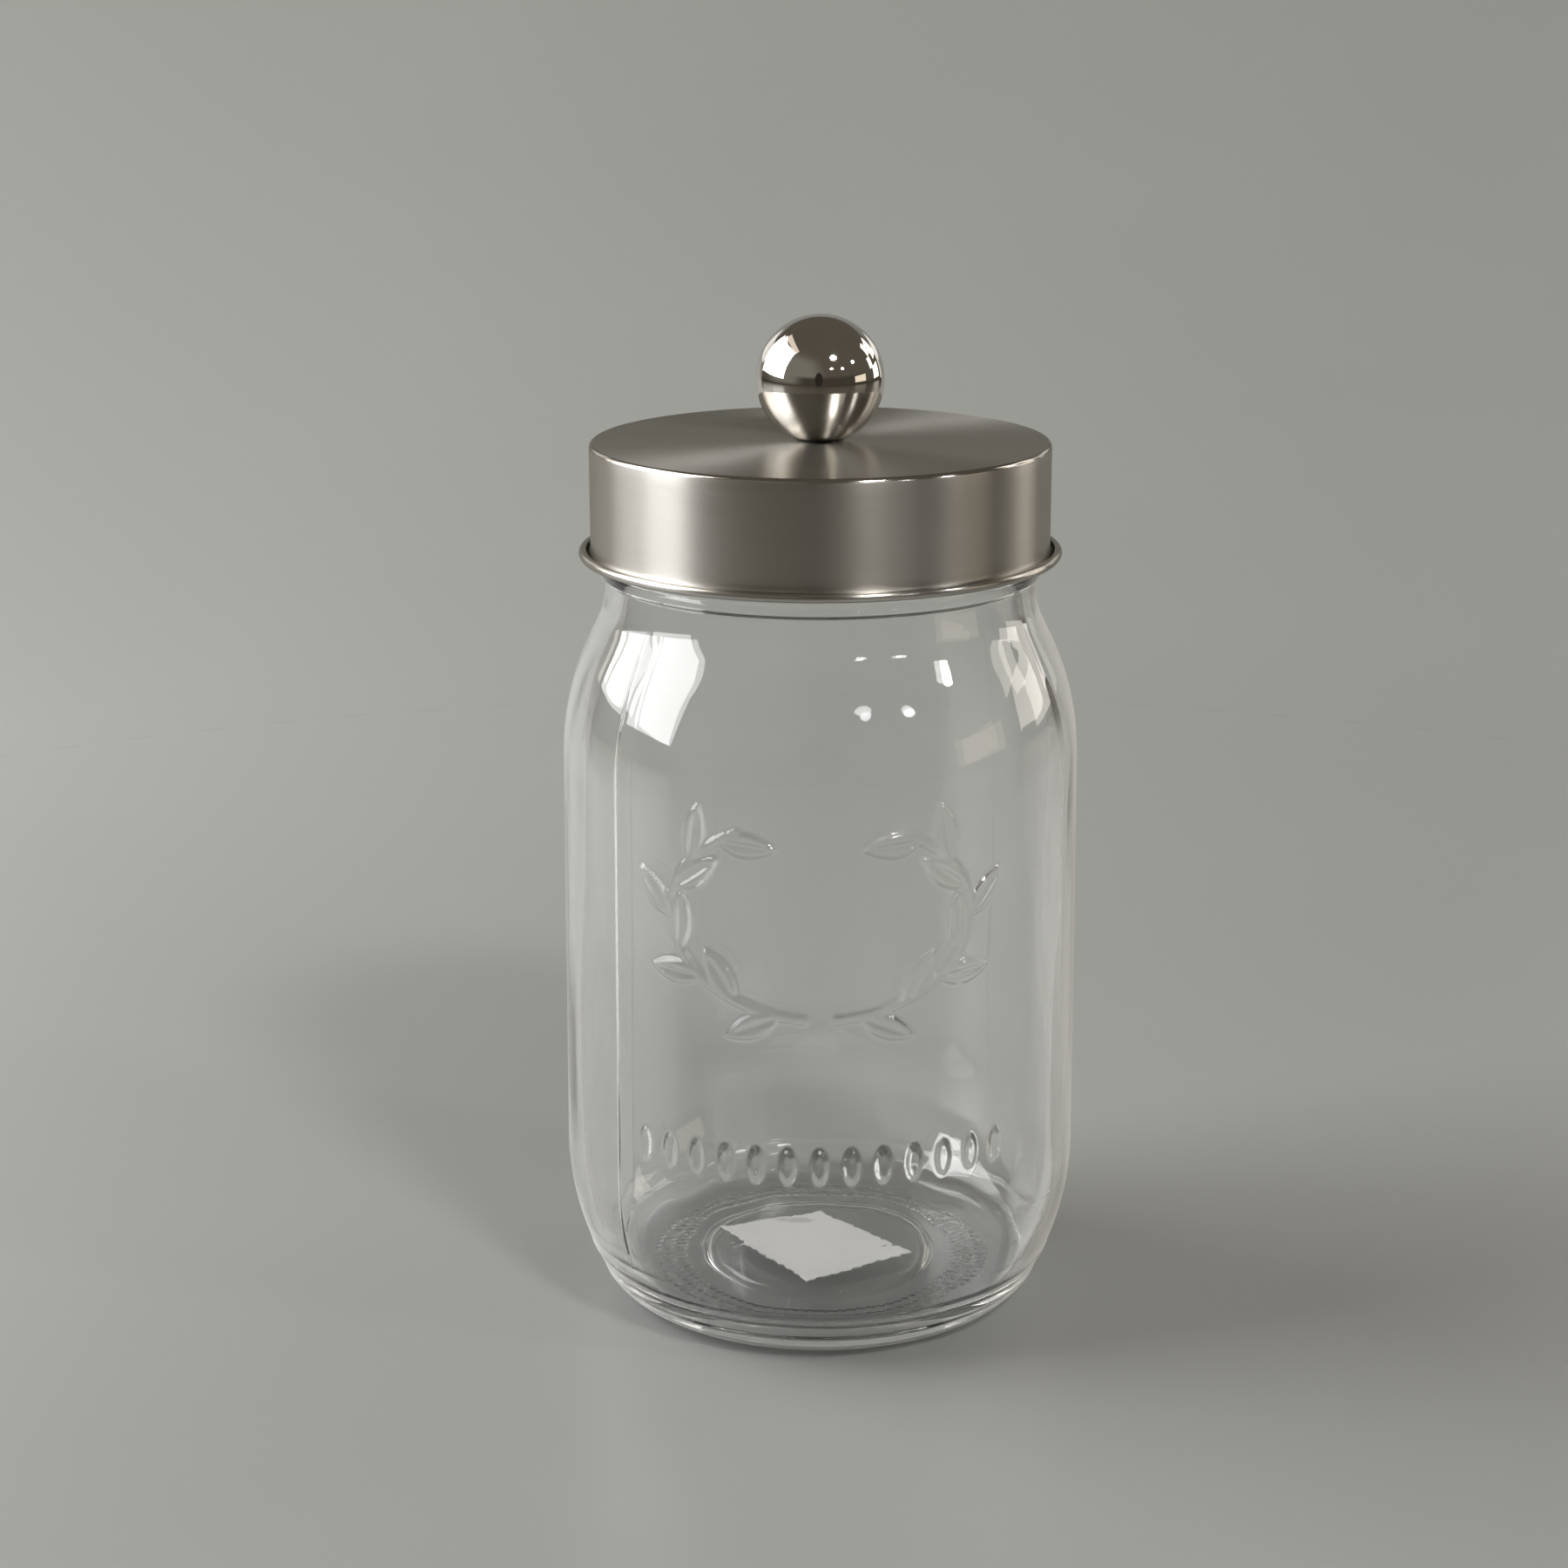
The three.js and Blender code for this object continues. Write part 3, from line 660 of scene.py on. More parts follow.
def filleted(corners: Sequence[Corner], arc_step: float = 0.25) -> list[tuple[float, float]]:
    """Rounds the corners of an open outline.

    Args:
        corners: radius, height and fillet of each corner, in millimetres.
        arc_step: length of the chords along a fillet.

    Returns:
        Points of the outline, as radius and height.
    """
    spots = [Vector(corner[:2]) for corner in corners]
    points = [tuple(spots[0])]
    for i in range(1, len(corners) - 1):
        corner, fillet = spots[i], corners[i][2]
        back, on = (spots[i - 1] - corner).normalized(), (spots[i + 1] - corner).normalized()
        half = back.angle(on) / 2
        if fillet == 0 or pi / 2 - half < STRAIGHT:
            points.append(tuple(corner))
            continue
        centre = corner + (back + on).normalized() * fillet / sin(half)
        first = corner + back * fillet / tan(half) - centre
        last = corner + on * fillet / tan(half) - centre
        turn = atan2(first.x * last.y - first.y * last.x, first.dot(last))
        chords = max(FEWEST_CHORDS, ceil(abs(turn) * fillet / arc_step))
        for k in range(chords + 1):
            spoke = Matrix.Rotation(turn * k / chords, 2) @ first
            points.append(tuple(centre + spoke))
    points.append(tuple(spots[-1]))
    return points


def offset(corners: Sequence[Corner], distance: float) -> list[Corner]:
    """Moves the corners of an outline sideways.

    Args:
        corners: radius, height and fillet of each corner.
        distance: how far to the left of the way they run, in their own unit.

    Returns:
        The moved corners, with the same fillets.
    """
    spots = [Vector(corner[:2]) for corner in corners]
    sides = []
    for here, there in zip(spots, spots[1:]):
        along = (there - here).normalized()
        sides.append(Vector((-along.y, along.x)))
    moved = []
    for i, corner in enumerate(corners):
        before, after = sides[max(0, i - 1)], sides[min(len(sides) - 1, i)]
        place = spots[i] + (before + after) * distance / (1 + before.dot(after))
        moved.append((place.x, place.y, corner[2]))
    return moved


def stepped(
    points: Sequence[tuple[float, float]], step: Callable[[float, float], float]
) -> np.ndarray:
    """Divides the long stretches of an outline.

    Args:
        points: the outline.
        step: gives the longest allowed stretch at a radius and a height.

    Returns:
        An array of points, which holds every point of the outline.
    """
    fine = [np.array(points[0])]
    for here, there in zip(points, points[1:]):
        here, there = np.array(here), np.array(there)
        length = float(np.hypot(*(there - here)))
        if length < TINY:
            continue
        parts = max(1, ceil(length / step(*((here + there) / 2)) - TINY))
        fine += [here + (there - here) * k / parts for k in range(1, parts + 1)]
    return np.array(fine)


def left_sides(points: np.ndarray) -> np.ndarray:
    """Finds the sideways directions along an outline.

    Args:
        points: the outline's points, in rows.

    Returns:
        A unit vector to the left of it at each point.
    """
    along = np.gradient(points, axis=0)
    along /= np.linalg.norm(along, axis=1, keepdims=True)
    return np.stack([-along[:, 1], along[:, 0]], axis=1)


def sheet_outline(centre_line: Sequence[Sequence[float]], thickness: float) -> list[np.ndarray]:
    """Gives a line the thickness of a sheet.

    Args:
        centre_line: points along the middle of the sheet.
        thickness: the sheet's thickness, in the same unit.

    Returns:
        The closed outline round it.
    """
    line = np.array(centre_line)
    side = left_sides(line) * thickness / 2
    return [*(line - side), *(line + side)[::-1]]


def smooth(share: np.ndarray) -> np.ndarray:
    """A soft step from 0 to 1 for shares from 0 to 1, and flat beyond them."""
    share = np.clip(share, 0.0, 1.0)
    return share * share * (3.0 - 2.0 * share)


def ramp(value: float, start: float, end: float) -> float:
    """A soft change from 0 at start to 1 at end. Start may be the larger of the two."""
    return float(smooth(np.array((value - start) / (end - start))))


# --------------------------------------------------------------------------------------- meshes


@dataclass(frozen=True)
class FineBand:
    """A stretch around the axis with finer steps, in radians."""

    centre: float
    half: float
    step: float


def azimuths(coarse: float, bands: Sequence[FineBand] = ()) -> np.ndarray:
    """Divides a turn, finely in places.

    Args:
        coarse: the step outside the bands, in radians.
        bands: stretches with finer steps.

    Returns:
        Angles around the axis, upwards from -pi.
    """
    inside, too_narrow = 1e-4, 0.4
    angles, angle = [], -pi
    while angle < pi - TINY:
        angles.append(angle)
        near = [band.step for band in bands if abs(angle - band.centre) < band.half]
        ahead = [band.centre - band.half - angle for band in bands]
        step = min(near, default=coarse)
        angle += min([step, *(gap + inside for gap in ahead if 0 < gap < step)])
    if pi - angles[-1] < too_narrow * (angles[-1] - angles[-2]):
        angles.pop()
    return np.array(angles)


def linked(name: str, data: bpy.types.ID) -> bpy.types.Object:
    """Makes an object and links it to the scene.

    Args:
        name: the object's name.
        data: its mesh, light or camera.

    Returns:
        The object.
    """
    item = bpy.data.objects.new(name, data)
    bpy.context.scene.collection.objects.link(item)
    return item


class Skin:
    """A surface of revolution that grows ring by ring. Rings may differ in their number of points."""

    def __init__(self) -> None:
        """Starts with nothing."""
        self.points: list[tuple[float, float, float]] = []
        self.faces: list[tuple[int, ...]] = []
        self.rings: list[tuple[int, np.ndarray]] = []

    def ring(self, angles: np.ndarray, radii: np.ndarray, heights: np.ndarray) -> None:
        """Adds a ring and joins it to the one before.

        Args:
            angles: the azimuth of each point. One angle alone is a point on the axis.
            radii: the radius of each point, in millimetres.
            heights: the height of each point, in millimetres.
        """
        first = len(self.points)
        xs, ys = radii * np.cos(angles) * MM, radii * np.sin(angles) * MM
        self.points += list(zip(xs.tolist(), ys.tolist(), (heights * MM).tolist()))
        if self.rings:
            self._join(*self.rings[-1], first, angles)
        self.rings.append((first, angles))

    def tip(self, height: float) -> None:
        """Adds a point on the axis, at a height in millimetres."""
        self.ring(np.zeros(1), np.zeros(1), np.full(1, height))

    def close(self) -> None:
        """Joins the last ring to the first."""
        self._join(*self.rings[-1], *self.rings[0])

    def _join(self, low: int, low_angles: np.ndarray, high: int, high_angles: np.ndarray) -> None:
        """Fills the strip between two rings with quads, or with triangles where their counts differ.

        Args:
            low: number of the first ring's first point.
            low_angles: azimuths of its points.
            high: number of the second ring's first point.
            high_angles: azimuths of its points.
        """
        m, n = len(low_angles), len(high_angles)
        if m == n:
            for k in range(m):
                after = (k + 1) % m
                self.faces.append((low + k, low + after, high + after, high + k))
            return
        i = j = 0
        while i < m or j < n:
            reach_low = low_angles[i + 1] if i + 1 < m else low_angles[0] + 2 * pi
            reach_high = high_angles[j + 1] if j + 1 < n else high_angles[0] + 2 * pi
            here, there = low + i % m, high + j % n
            if m > 1 and i < m and (n == 1 or j >= n or reach_low <= reach_high):
                i += 1
                self.faces.append((here, low + i % m, there))
            elif n > 1 and j < n:
                j += 1
                self.faces.append((here, high + j % n, there))
            else:
                break

    def piece(self, name: str) -> bpy.types.Object:
        """Makes the object.

        Args:
            name: its name.

        Returns:
            A smooth-shaded mesh object with its faces turned out.
        """
        mesh = bpy.data.meshes.new(name)
        mesh.from_pydata(self.points, [], self.faces)
        shape = bmesh.new()
        shape.from_mesh(mesh)
        bmesh.ops.recalc_face_normals(shape, faces=shape.faces[:])
        shape.to_mesh(mesh)
        shape.free()
        mesh.shade_smooth()
        return linked(name, mesh)


def turned(name: str, outline: Sequence[Any], sides: int) -> bpy.types.Object:
    """Turns an outline about the axis.

    Args:
        name: the object's name.
        outline: points in millimetres. It starts and ends on the axis, or it is closed on itself.
        sides: how many facets go round.

    Returns:
        The object.
    """
    angles = azimuths(2 * pi / sides)
    skin = Skin()
    for radius, height in outline:
        if radius == 0:
            skin.tip(height)
        else:
            skin.ring(angles, np.full(len(angles), radius), np.full(len(angles), height))
    if outline[0][0] != 0:
        skin.close()
    return skin.piece(name)


def hand_over(
    item: bpy.types.Object, finish: Finish, body: Body, node: str
) -> bpy.types.Object:
    """Dresses a piece, sets it on its body and lets it stand for its CAD node.

    Args:
        item: the piece.
        finish: its finish.
        body: the body that it moves with.
        node: the CAD node that it replaces.

    Returns:
        The piece.
    """
    item.data.materials.append(finish.material())
    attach(item, body.value)
    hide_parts(node)
    log.info("%s: %d faces, on the %s", item.name, len(item.data.polygons), body.value)
    return item


# -------------------------------------------------------------------------------------- the jar


@dataclass
class Wreath:
    """Two leafy branches, raised on the front of the glass. Sizes are in millimetres."""

    height: float = 74.5
    half_width: float = 24.0
    half_height: float = 15.5
    start: float = -84.0
    end: float = 58.0
    leaves: int = 8
    leaf_length: float = 9.6
    leaf_width: float = 4.4
    leaf_skew: float = 0.85
    leaf_fullness: float = 0.8
    splay: float = 34.0
    rib_width: float = 0.2
    rib_end: Range = (0.9, 0.7)
    rib_depth: float = 0.6
    stem_width: float = 1.8
    stem_share: float = 0.75
    stem_points: int = 61
    flank: float = 0.8
    relief: float = 0.65

    def branch(self, share: float, side: int) -> tuple[float, float, float]:
        """Place and heading along one branch.

        Args:
            share: how far from its foot to its tip, from 0 to 1.
            side: -1 for the left branch and 1 for the right one.

        Returns:
            Distance across the front, height, and the heading in radians.
        """
        around = radians(self.start + (self.end - self.start) * share)
        run, climb = -self.half_width * sin(around), self.half_height * cos(around)
        x = side * self.half_width * cos(around)
        return x, self.height + self.half_height * sin(around), atan2(climb, side * run)

    def rise(self, x: np.ndarray, z: float) -> np.ndarray:
        """How far the glass stands out at a height.

        Args:
            x: distances across the front.
            z: the height.

        Returns:
            The relief at each of them.
        """
        rise = np.zeros_like(x)
        if abs(z - self.height) > self.half_height + self.leaf_length:
            return rise
        for side in (-1, 1):
            for i in range(self.leaves):
                foot_x, foot_z, heading = self.branch((i + 0.5) / self.leaves, side)
                heading += radians(self.splay if i % 2 else -self.splay) * side
                rise = np.maximum(rise, self._leaf(x - foot_x, z - foot_z, heading))
            rise = np.maximum(rise, self._stem(x, z, side))
        return rise

    def _leaf(self, x: np.ndarray, z: float, heading: float) -> np.ndarray:
        """Raises one pointed leaf with a sunk midrib.

        Args:
            x: distances across the front from the leaf's foot.
            z: height over the leaf's foot.
            heading: where it points, in radians.

        Returns:
            The relief at each distance.
        """
        along = (x * cos(heading) + z * sin(heading)) / self.leaf_length
        across = (z * cos(heading) - x * sin(heading)) / (self.leaf_width / 2)
        inside = np.clip(along, 0.0, 1.0)
        half = np.sin(pi * inside**self.leaf_skew) ** self.leaf_fullness + TINY
        edge = (half - np.abs(across)) * self.leaf_width / 2 / self.flank
        body = smooth(edge) * ((along > 0) & (along < 1))
        fade = (inside - self.rib_end[0]) / (self.rib_end[1] - self.rib_end[0])
        rib = np.exp(-((across / self.rib_width) ** 2)) * smooth(fade)
        return self.relief * body * (1.0 - self.rib_depth * rib)

    def _stem(self, x: np.ndarray, z: float, side: int) -> np.ndarray:
        """Raises the thin round stem of a branch.

        Args:
            x: distances across the front.
            z: the height.
            side: -1 for the left branch and 1 for the right one.

        Returns:
            The relief at each distance.
        """
        shares = np.linspace(0.0, 1.0, self.stem_points)
        spots = np.array([self.branch(share, side)[:2] for share in shares])
        gap = np.hypot(x[:, None] - spots[:, 0], z - spots[:, 1]).min(axis=1) / (self.stem_width / 2)
        return self.relief * self.stem_share * np.sqrt(np.clip(1.0 - gap**2, 0.0, 1.0))


@dataclass
class BeadRow:
    """A row of raised upright ovals low on the front. Sizes are in millimetres."""

    height: float = 35.5
    count: int = 13
    pitch: float = 4.9
    width: float = 2.8
    length: float = 6.6
    flank: float = 0.6
    relief: float = 0.42

    def rise(self, x: np.ndarray, z: float) -> np.ndarray:
        """Raises the ovals.

        Args:
            x: distances across the front.
            z: the height.

        Returns:
            The relief at each distance.
        """
        last = (self.count - 1) / 2
        nearest = np.clip(np.round(x / self.pitch), -last, last) * self.pitch
        gap = np.hypot((x - nearest) / (self.width / 2), (z - self.height) / (self.length / 2))
        return self.relief * smooth((1.0 - gap) * self.width / 2 / self.flank)


@dataclass
class Thread:
    """The screw ridge on the finish. Sizes are in millimetres."""

    depth: float = 1.4
    pitch: float = 5.08
    turns: float = 1.15
    base: float = 2.6
    crest: float = 0.9
    start_drop: float = 4.2
    runout: float = 0.1

    def rise(self, angles: np.ndarray, drop: float) -> np.ndarray:
        """How far the ridge stands out.

        Args:
            angles: azimuths around the finish.
            drop: how far below the rim.

        Returns:
            The ridge's height at each azimuth.
        """
        rise = np.zeros_like(angles)
        for lap in range(ceil(self.turns) + 1):
            turn = (angles % (2 * pi)) / (2 * pi) + lap
            gap = np.abs(drop - self.start_drop - turn * self.pitch)
            flank = smooth((self.base / 2 - gap) / (self.base / 2 - self.crest / 2))
            fade = smooth(np.minimum(turn, self.turns - turn) / self.runout)
            rise = np.maximum(rise, self.depth * flank * fade)
        return rise


@dataclass(frozen=True)
class JarCuts:
    """How finely the jar's mesh is cut: lengths in millimetres along or round it, and turns in radians."""

    foot: float = 0.4
    foot_top: float = 1.0
    dots_top: float = 1.2
    dots_margin: float = 1.2
    points_per_dot: int = 4
    ring: float = 0.2
    ring_reach: float = 3.0
    beads: float = 0.3
    beads_margin: float = 0.4
    wreath: float = 0.34
    finish: float = 0.42
    finish_margin: float = 2.0
    plain: float = 1.6
    inner: float = 2.2
    seam: float = 0.17
    seam_half: float = 0.9
    seam_from: float = 3.0
    front: float = 0.33
    front_half: float = 33.0
    front_from: float = 22.0
    front_to: float = 96.0
    plain_turn: float = radians(3.0)
    finish_turn: float = radians(2.0)
    finish_turn_margin: float = 1.0


@dataclass
class GlassJar:
    """The jar: a pressed body, a sloping shoulder and a screw finish.

    Lengths are in millimetres. A seam has an azimuth in degrees and a relief, and a ring low on the body
    has a height and a relief. A range gives where something starts and where it is whole.
    """

    glass: float = 3.0
    foot_radius: float = 34.1
    foot_fillet: float = 7.0
    heel: Corner = (41.52, 16.1, 44.0)
    shoulder: Corner = (40.85, 100.2, 42.0)
    collar: Corner = (34.3, 113.6, 14.0)
    neck_radius: float = 33.4
    neck_glass: float = 2.9
    neck_fillet: float = 0.45
    push_up_radius: float = 18.4
    push_up_height: float = 2.2
    push_up_slope: float = 1.4
    push_up_fillet: float = 4.0
    foot_edge_fillet: float = 0.5
    floor_thickness: float = 4.0
    floor_fillet: float = 2.5
    inner_heel_fillet: float = 38.0
    inner_arc_step: float = 0.9
    bead_bottom: float = 119.0
    bead_width: float = 2.4
    bead_radius: float = 34.6
    bead_fillet: float = 0.6
    finish_radius: float = 33.0
    finish_fillet: float = 0.4
    rim_fillet: float = 0.9
    rim_depth: float = 2.0
    mouth_fillet: float = 12.0
    stipple_rows: tuple[float, ...] = (23.4, 25.1, 26.8)
    stipple_count: int = 96
    stipple_width: float = 1.1
    stipple_height: float = 0.3
    seams_at: tuple[tuple[float, float], ...] = ((SEAM_AZIMUTH - 180.0, 0.12), (SEAM_AZIMUTH, 0.05))
    seam_width: float = 0.5
    rings_at: tuple[tuple[float, float], ...] = ((8.6, 0.14), (4.4, 0.10))
    ring_half: float = 0.55
    uneven_from: Range = (10.0, 18.0)
    uneven_to: Range = (116.0, 108.0)
    raised_from: float = 20.0
    waves: tuple[tuple[float, float, float, float], ...] = (
        (3.0, 0.031, 0.6, 1.0),
        (7.0, -0.047, 2.1, 1.0),
        (16.0, 0.09, 0.0, 0.7),
        (29.0, -0.13, 1.3, 0.4),
    )
    outer_wave: float = 0.035
    inner_wave: float = 0.16
    inner_wave_turn: float = 0.4
    inner_wave_stretch: float = 0.8
    inner_from: Range = (24.0, 34.0)
    inner_to: Range = (112.0, 100.0)
    wreath: Wreath = field(default_factory=Wreath)
    beads: BeadRow = field(default_factory=BeadRow)
    thread: Thread = field(default_factory=Thread)
    cuts: JarCuts = field(default_factory=JarCuts)

    def outside(self) -> list[tuple[float, float]]:
        """Outlines the jar's outer side.

        Returns:
            Radius and height, from the axis under the jar to the top of the inner wall.
        """
        rim = self.rim_height
        bead_top = self.bead_bottom + self.bead_width
        return filleted([
            (0.0, self.push_up_height, 0.0),
            (self.push_up_radius, self.push_up_height, self.push_up_fillet),
            (self.push_up_radius + self.push_up_slope, self.stipple_height, self.foot_edge_fillet),
            (self.foot_radius, self.stipple_height, self.foot_fillet),
            self.heel,
            self.shoulder,
            self.collar,
            (self.neck_radius, self.bead_bottom, self.neck_fillet),
            (self.bead_radius, self.bead_bottom, self.bead_fillet),
            (self.bead_radius, bead_top, self.bead_fillet),
            (self.finish_radius, bead_top, self.finish_fillet),
            (self.finish_radius, rim, self.rim_fillet),
            (self.mouth_radius, rim, self.rim_fillet),
            (self.mouth_radius, rim - self.rim_depth, 0.0),
        ])

    def inside(self) -> list[tuple[float, float]]:
        """Outlines the jar's inner side.

        Returns:
            Radius and height, from the top of the inner wall to the middle of the floor.
        """
        floor = self.push_up_height + self.floor_thickness
        foot = (self.foot_radius, 0.0, 0.0)
        path = [foot, self.heel, self.shoulder, self.collar, (self.neck_radius, self.bead_bottom, 0.0)]
        foot, heel, shoulder, collar = offset(path, self.glass)[:4]
        edge = foot[0] + (heel[0] - foot[0]) * (floor - foot[1]) / (heel[1] - foot[1])
        return filleted([
            (self.mouth_radius, self.rim_height - self.rim_depth, 0.0),
            (self.mouth_radius, self.bead_bottom, self.mouth_fillet),
            collar,
            shoulder,
            (heel[0], heel[1], self.inner_heel_fillet),
            (edge, floor, self.floor_fillet),
            (0.0, floor, 0.0),
        ], arc_step=self.inner_arc_step)

    @property
    def rim_height(self) -> float:
        """Height of the rim, from the frame."""
        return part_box("glass_jar")[1].z / MM

    @property
    def mouth_radius(self) -> float:
        """Radius of the mouth."""
        return self.neck_radius - self.neck_glass

    def step(self, radius: float, height: float) -> float:
        """Sets how finely the outer outline is divided, which is finer where there is relief.

        Args:
            radius: of the outline there.
            height: of the outline there.

        Returns:
            The longest stretch allowed.
        """
        cuts, wreath, beads = self.cuts, self.wreath, self.beads
        if height < cuts.foot_top and radius > self.push_up_radius:
            return cuts.foot
        if any(abs(height - middle) < cuts.ring_reach * self.ring_half for middle, _ in self.rings_at):
            return cuts.ring
        if abs(height - beads.height) < beads.length / 2 + cuts.beads_margin:
            return cuts.beads
        if abs(height - wreath.height) < wreath.half_height + wreath.leaf_length / 2:
            return cuts.wreath
        return cuts.finish if height > self.bead_bottom - cuts.finish_margin else cuts.plain

    def relief(self, angles: np.ndarray, height: float) -> np.ndarray:
        """How far the outer skin stands out from its smooth outline.

        Args:
            angles: azimuths around the jar.
            height: of the outline there.

        Returns:
            The relief at each azimuth.
        """
        across = (angles - FRONT) * self.heel[0]
        body = ramp(height, *self.uneven_from) * ramp(height, *self.uneven_to)
        rise = body * self.seams(angles) - body * self.outer_wave * (1.0 + self.wave(angles, height))
        for middle, stand in self.rings_at:
            rise = rise + stand * exp(-(((height - middle) / self.ring_half) ** 2))
        if height > self.raised_from:
            rise = rise + self.wreath.rise(across, height) + self.beads.rise(across, height)
        if height > self.bead_bottom + self.bead_width:
            rise = rise + self.thread.rise(angles, self.rim_height - height)
        return rise

    def seams(self, angles: np.ndarray) -> np.ndarray:
        """Raises the two lines where the halves of the mould met.

        Args:
            angles: azimuths around the jar.

        Returns:
            The relief at each azimuth.
        """
        rise = np.zeros_like(angles)
        for azimuth, relief in self.seams_at:
            gap = (angles - radians(azimuth)) * self.heel[0] / (self.seam_width / 2)
            rise += relief * np.exp(-(gap**2))
        return rise

    def stipples(self, angles: np.ndarray, radius: float) -> np.ndarray:
        """Shapes the small bumps under the foot, in staggered rows.

        Args:
            angles: azimuths around the foot.
            radius: the radius.

        Returns:
            How far they reach down at each azimuth.
        """
        drop = np.zeros_like(angles)
        pitch = 2 * pi / self.stipple_count
        for row, middle in enumerate(self.stipple_rows):
            turned_by = (angles / pitch + 0.5 * (row % 2)) % 1.0 - 0.5
            gap = np.hypot(turned_by * pitch * middle, radius - middle) / (self.stipple_width / 2)
            drop = np.maximum(drop, self.stipple_height * np.sqrt(np.clip(1.0 - gap**2, 0.0, 1.0)))
        return drop

    def wave(self, angles: np.ndarray, height: float) -> np.ndarray:
        """A slow unevenness from -1 to 1, as pressed glass has, drawn out along the height.

        Args:
            angles: azimuths around the jar.
            height: the height.

        Returns:
            The sum of the waves, each of which has its count round the jar, its turn for each millimetre
            of height, its start and its size.
        """
        total = np.zeros_like(angles)
        for count, turn, start, size in self.waves:
            total = total + size * np.sin(count * angles + turn * height + start)
        return total / sum(size for *_, size in self.waves)

    def outer_skin(self, skin: Skin) -> None:
        """Adds the rings from under the foot to the top of the rim, with their relief.

        Args:
            skin: the surface, which is empty so far.
        """
        cuts, body = self.cuts, self.heel[0]
        seams = [FineBand(radians(a), cuts.seam_half / body, cuts.seam / body) for a, _ in self.seams_at]
        sprig = FineBand(FRONT, cuts.front_half / body, cuts.front / body)
        plain, finish = azimuths(cuts.plain_turn), azimuths(cuts.finish_turn)
        seamed, carved = azimuths(cuts.plain_turn, seams), azimuths(cuts.plain_turn, [*seams, sprig])
        dotted = azimuths(2 * pi / (cuts.points_per_dot * self.stipple_count))
        dots_end = self.stipple_rows[-1] + cuts.dots_margin
        outside = stepped(self.outside(), self.step)
        skin.tip(self.push_up_height)
        for (radius, height), (out_r, out_z) in zip(outside[1:-1], -left_sides(outside)[1:-1]):
            if height < cuts.dots_top and self.push_up_radius < radius < dots_end:
                skin.ring(dotted, np.full(len(dotted), radius), height - self.stipples(dotted, radius))
                continue
            if height <= cuts.seam_from:
                angles = plain
            elif cuts.front_from <= height < cuts.front_to:
                angles = carved
            else:
                angles = finish if height > self.bead_bottom - cuts.finish_turn_margin else seamed
            rise = self.relief(angles, height)
            skin.ring(angles, radius + rise * out_r, height + rise * out_z)

    def inner_skin(self, skin: Skin) -> None:
        """Adds the rings from the top of the inner wall to the middle of the floor.

        Args:
            skin: the surface, which ends at the top of the inner wall.
        """
        plain = azimuths(self.cuts.plain_turn)
        inside = stepped(self.inside(), lambda radius, height: self.cuts.inner)
        for (radius, height), (out_r, out_z) in zip(inside[:-1], left_sides(inside)[:-1]):
            depth = ramp(height, *self.inner_to) * ramp(radius, *self.inner_from)
            wave = self.wave(plain + self.inner_wave_turn, height * self.inner_wave_stretch)
            rise = depth * self.inner_wave * wave
            skin.ring(plain, radius + rise * out_r, height + rise * out_z)
        skin.tip(inside[-1][1])

    def build(self) -> bpy.types.Object:
        """Builds the jar.

        Returns:
            One closed mesh, with the relief in its surface.
        """
        skin = Skin()
        self.outer_skin(skin)
        self.inner_skin(skin)
        return hand_over(skin.piece("jar_glass"), ClearGlass(), Body.JAR, "glass_jar")


@dataclass
class BaseLabel:
    """A torn piece of blank paper on the floor of the jar. Sizes are in millimetres.

    A wave of the tear has its turn for each millimetre of edge, its turn for each side and its size.
    """

    corners: tuple[tuple[float, float], ...] = ((-2.3, -18.7), (15.1, -7.0), (0.6, 10.8), (-16.3, 3.7))
    edge_step: float = 0.35
    tear: float = 0.28
    tear_uneven: float = 0.6
    tear_waves: tuple[tuple[float, float, float], ...] = ((2.7, 1.0, 1.0), (6.1, 0.0, 0.6), (13.7, 2.0, 0.5))
    corner_share: float = 0.2
    corner_slope: float = 8.0
    top_inset: float = 0.995

    def edge(self) -> list[Vector]:
        """Tears the label's edge.

        Returns:
            The outline's points in metres, in the frame's axes.
        """
        corners = [Vector(corner) for corner in self.corners]
        points, walked = [], 0.0
        for i, (here, there) in enumerate(zip(corners, corners[1:] + corners[:1])):
            side = there - here
            parts = round(side.length / self.edge_step)
            inward = Vector((-side.y, side.x)).normalized()
            for k in range(parts):
                waves = (size * sin(rate * walked + turn * i) for rate, turn, size in self.tear_waves)
                from_corner = min(k, parts - k) / parts
                depth = self.tear * (1.0 + self.tear_uneven * sum(waves))
                depth *= min(1.0, self.corner_slope * from_corner + self.corner_share)
                points.append((here + side * k / parts + inward * max(0.0, depth)) * MM)
                walked += self.edge_step
        return points

    def build(self) -> bpy.types.Object:
        """Builds the label.

        Returns:
            A thin closed sheet in the place of its CAD node.
        """
        low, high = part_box("base_label")
        edge = self.edge()
        shape = bmesh.new()
        rims = []
        for height, inset in ((low.z, 1.0), (high.z, self.top_inset)):
            rims.append([shape.verts.new((p.x * inset, p.y * inset, height)) for p in edge])
        shape.faces.new(rims[0][::-1])
        shape.faces.new(rims[1])
        for k in range(len(edge)):
            after = (k + 1) % len(edge)
            shape.faces.new((rims[0][k], rims[0][after], rims[1][after], rims[1][k]))
        bmesh.ops.triangulate(shape, faces=[face for face in shape.faces if len(face.verts) > 4])
        mesh = bpy.data.meshes.new("base_paper")
        shape.to_mesh(mesh)
        shape.free()
        paper = linked("base_paper", mesh)
        return hand_over(paper, LabelPaper(), Body.JAR, "base_label")


# -------------------------------------------------------------------------------------- the lid


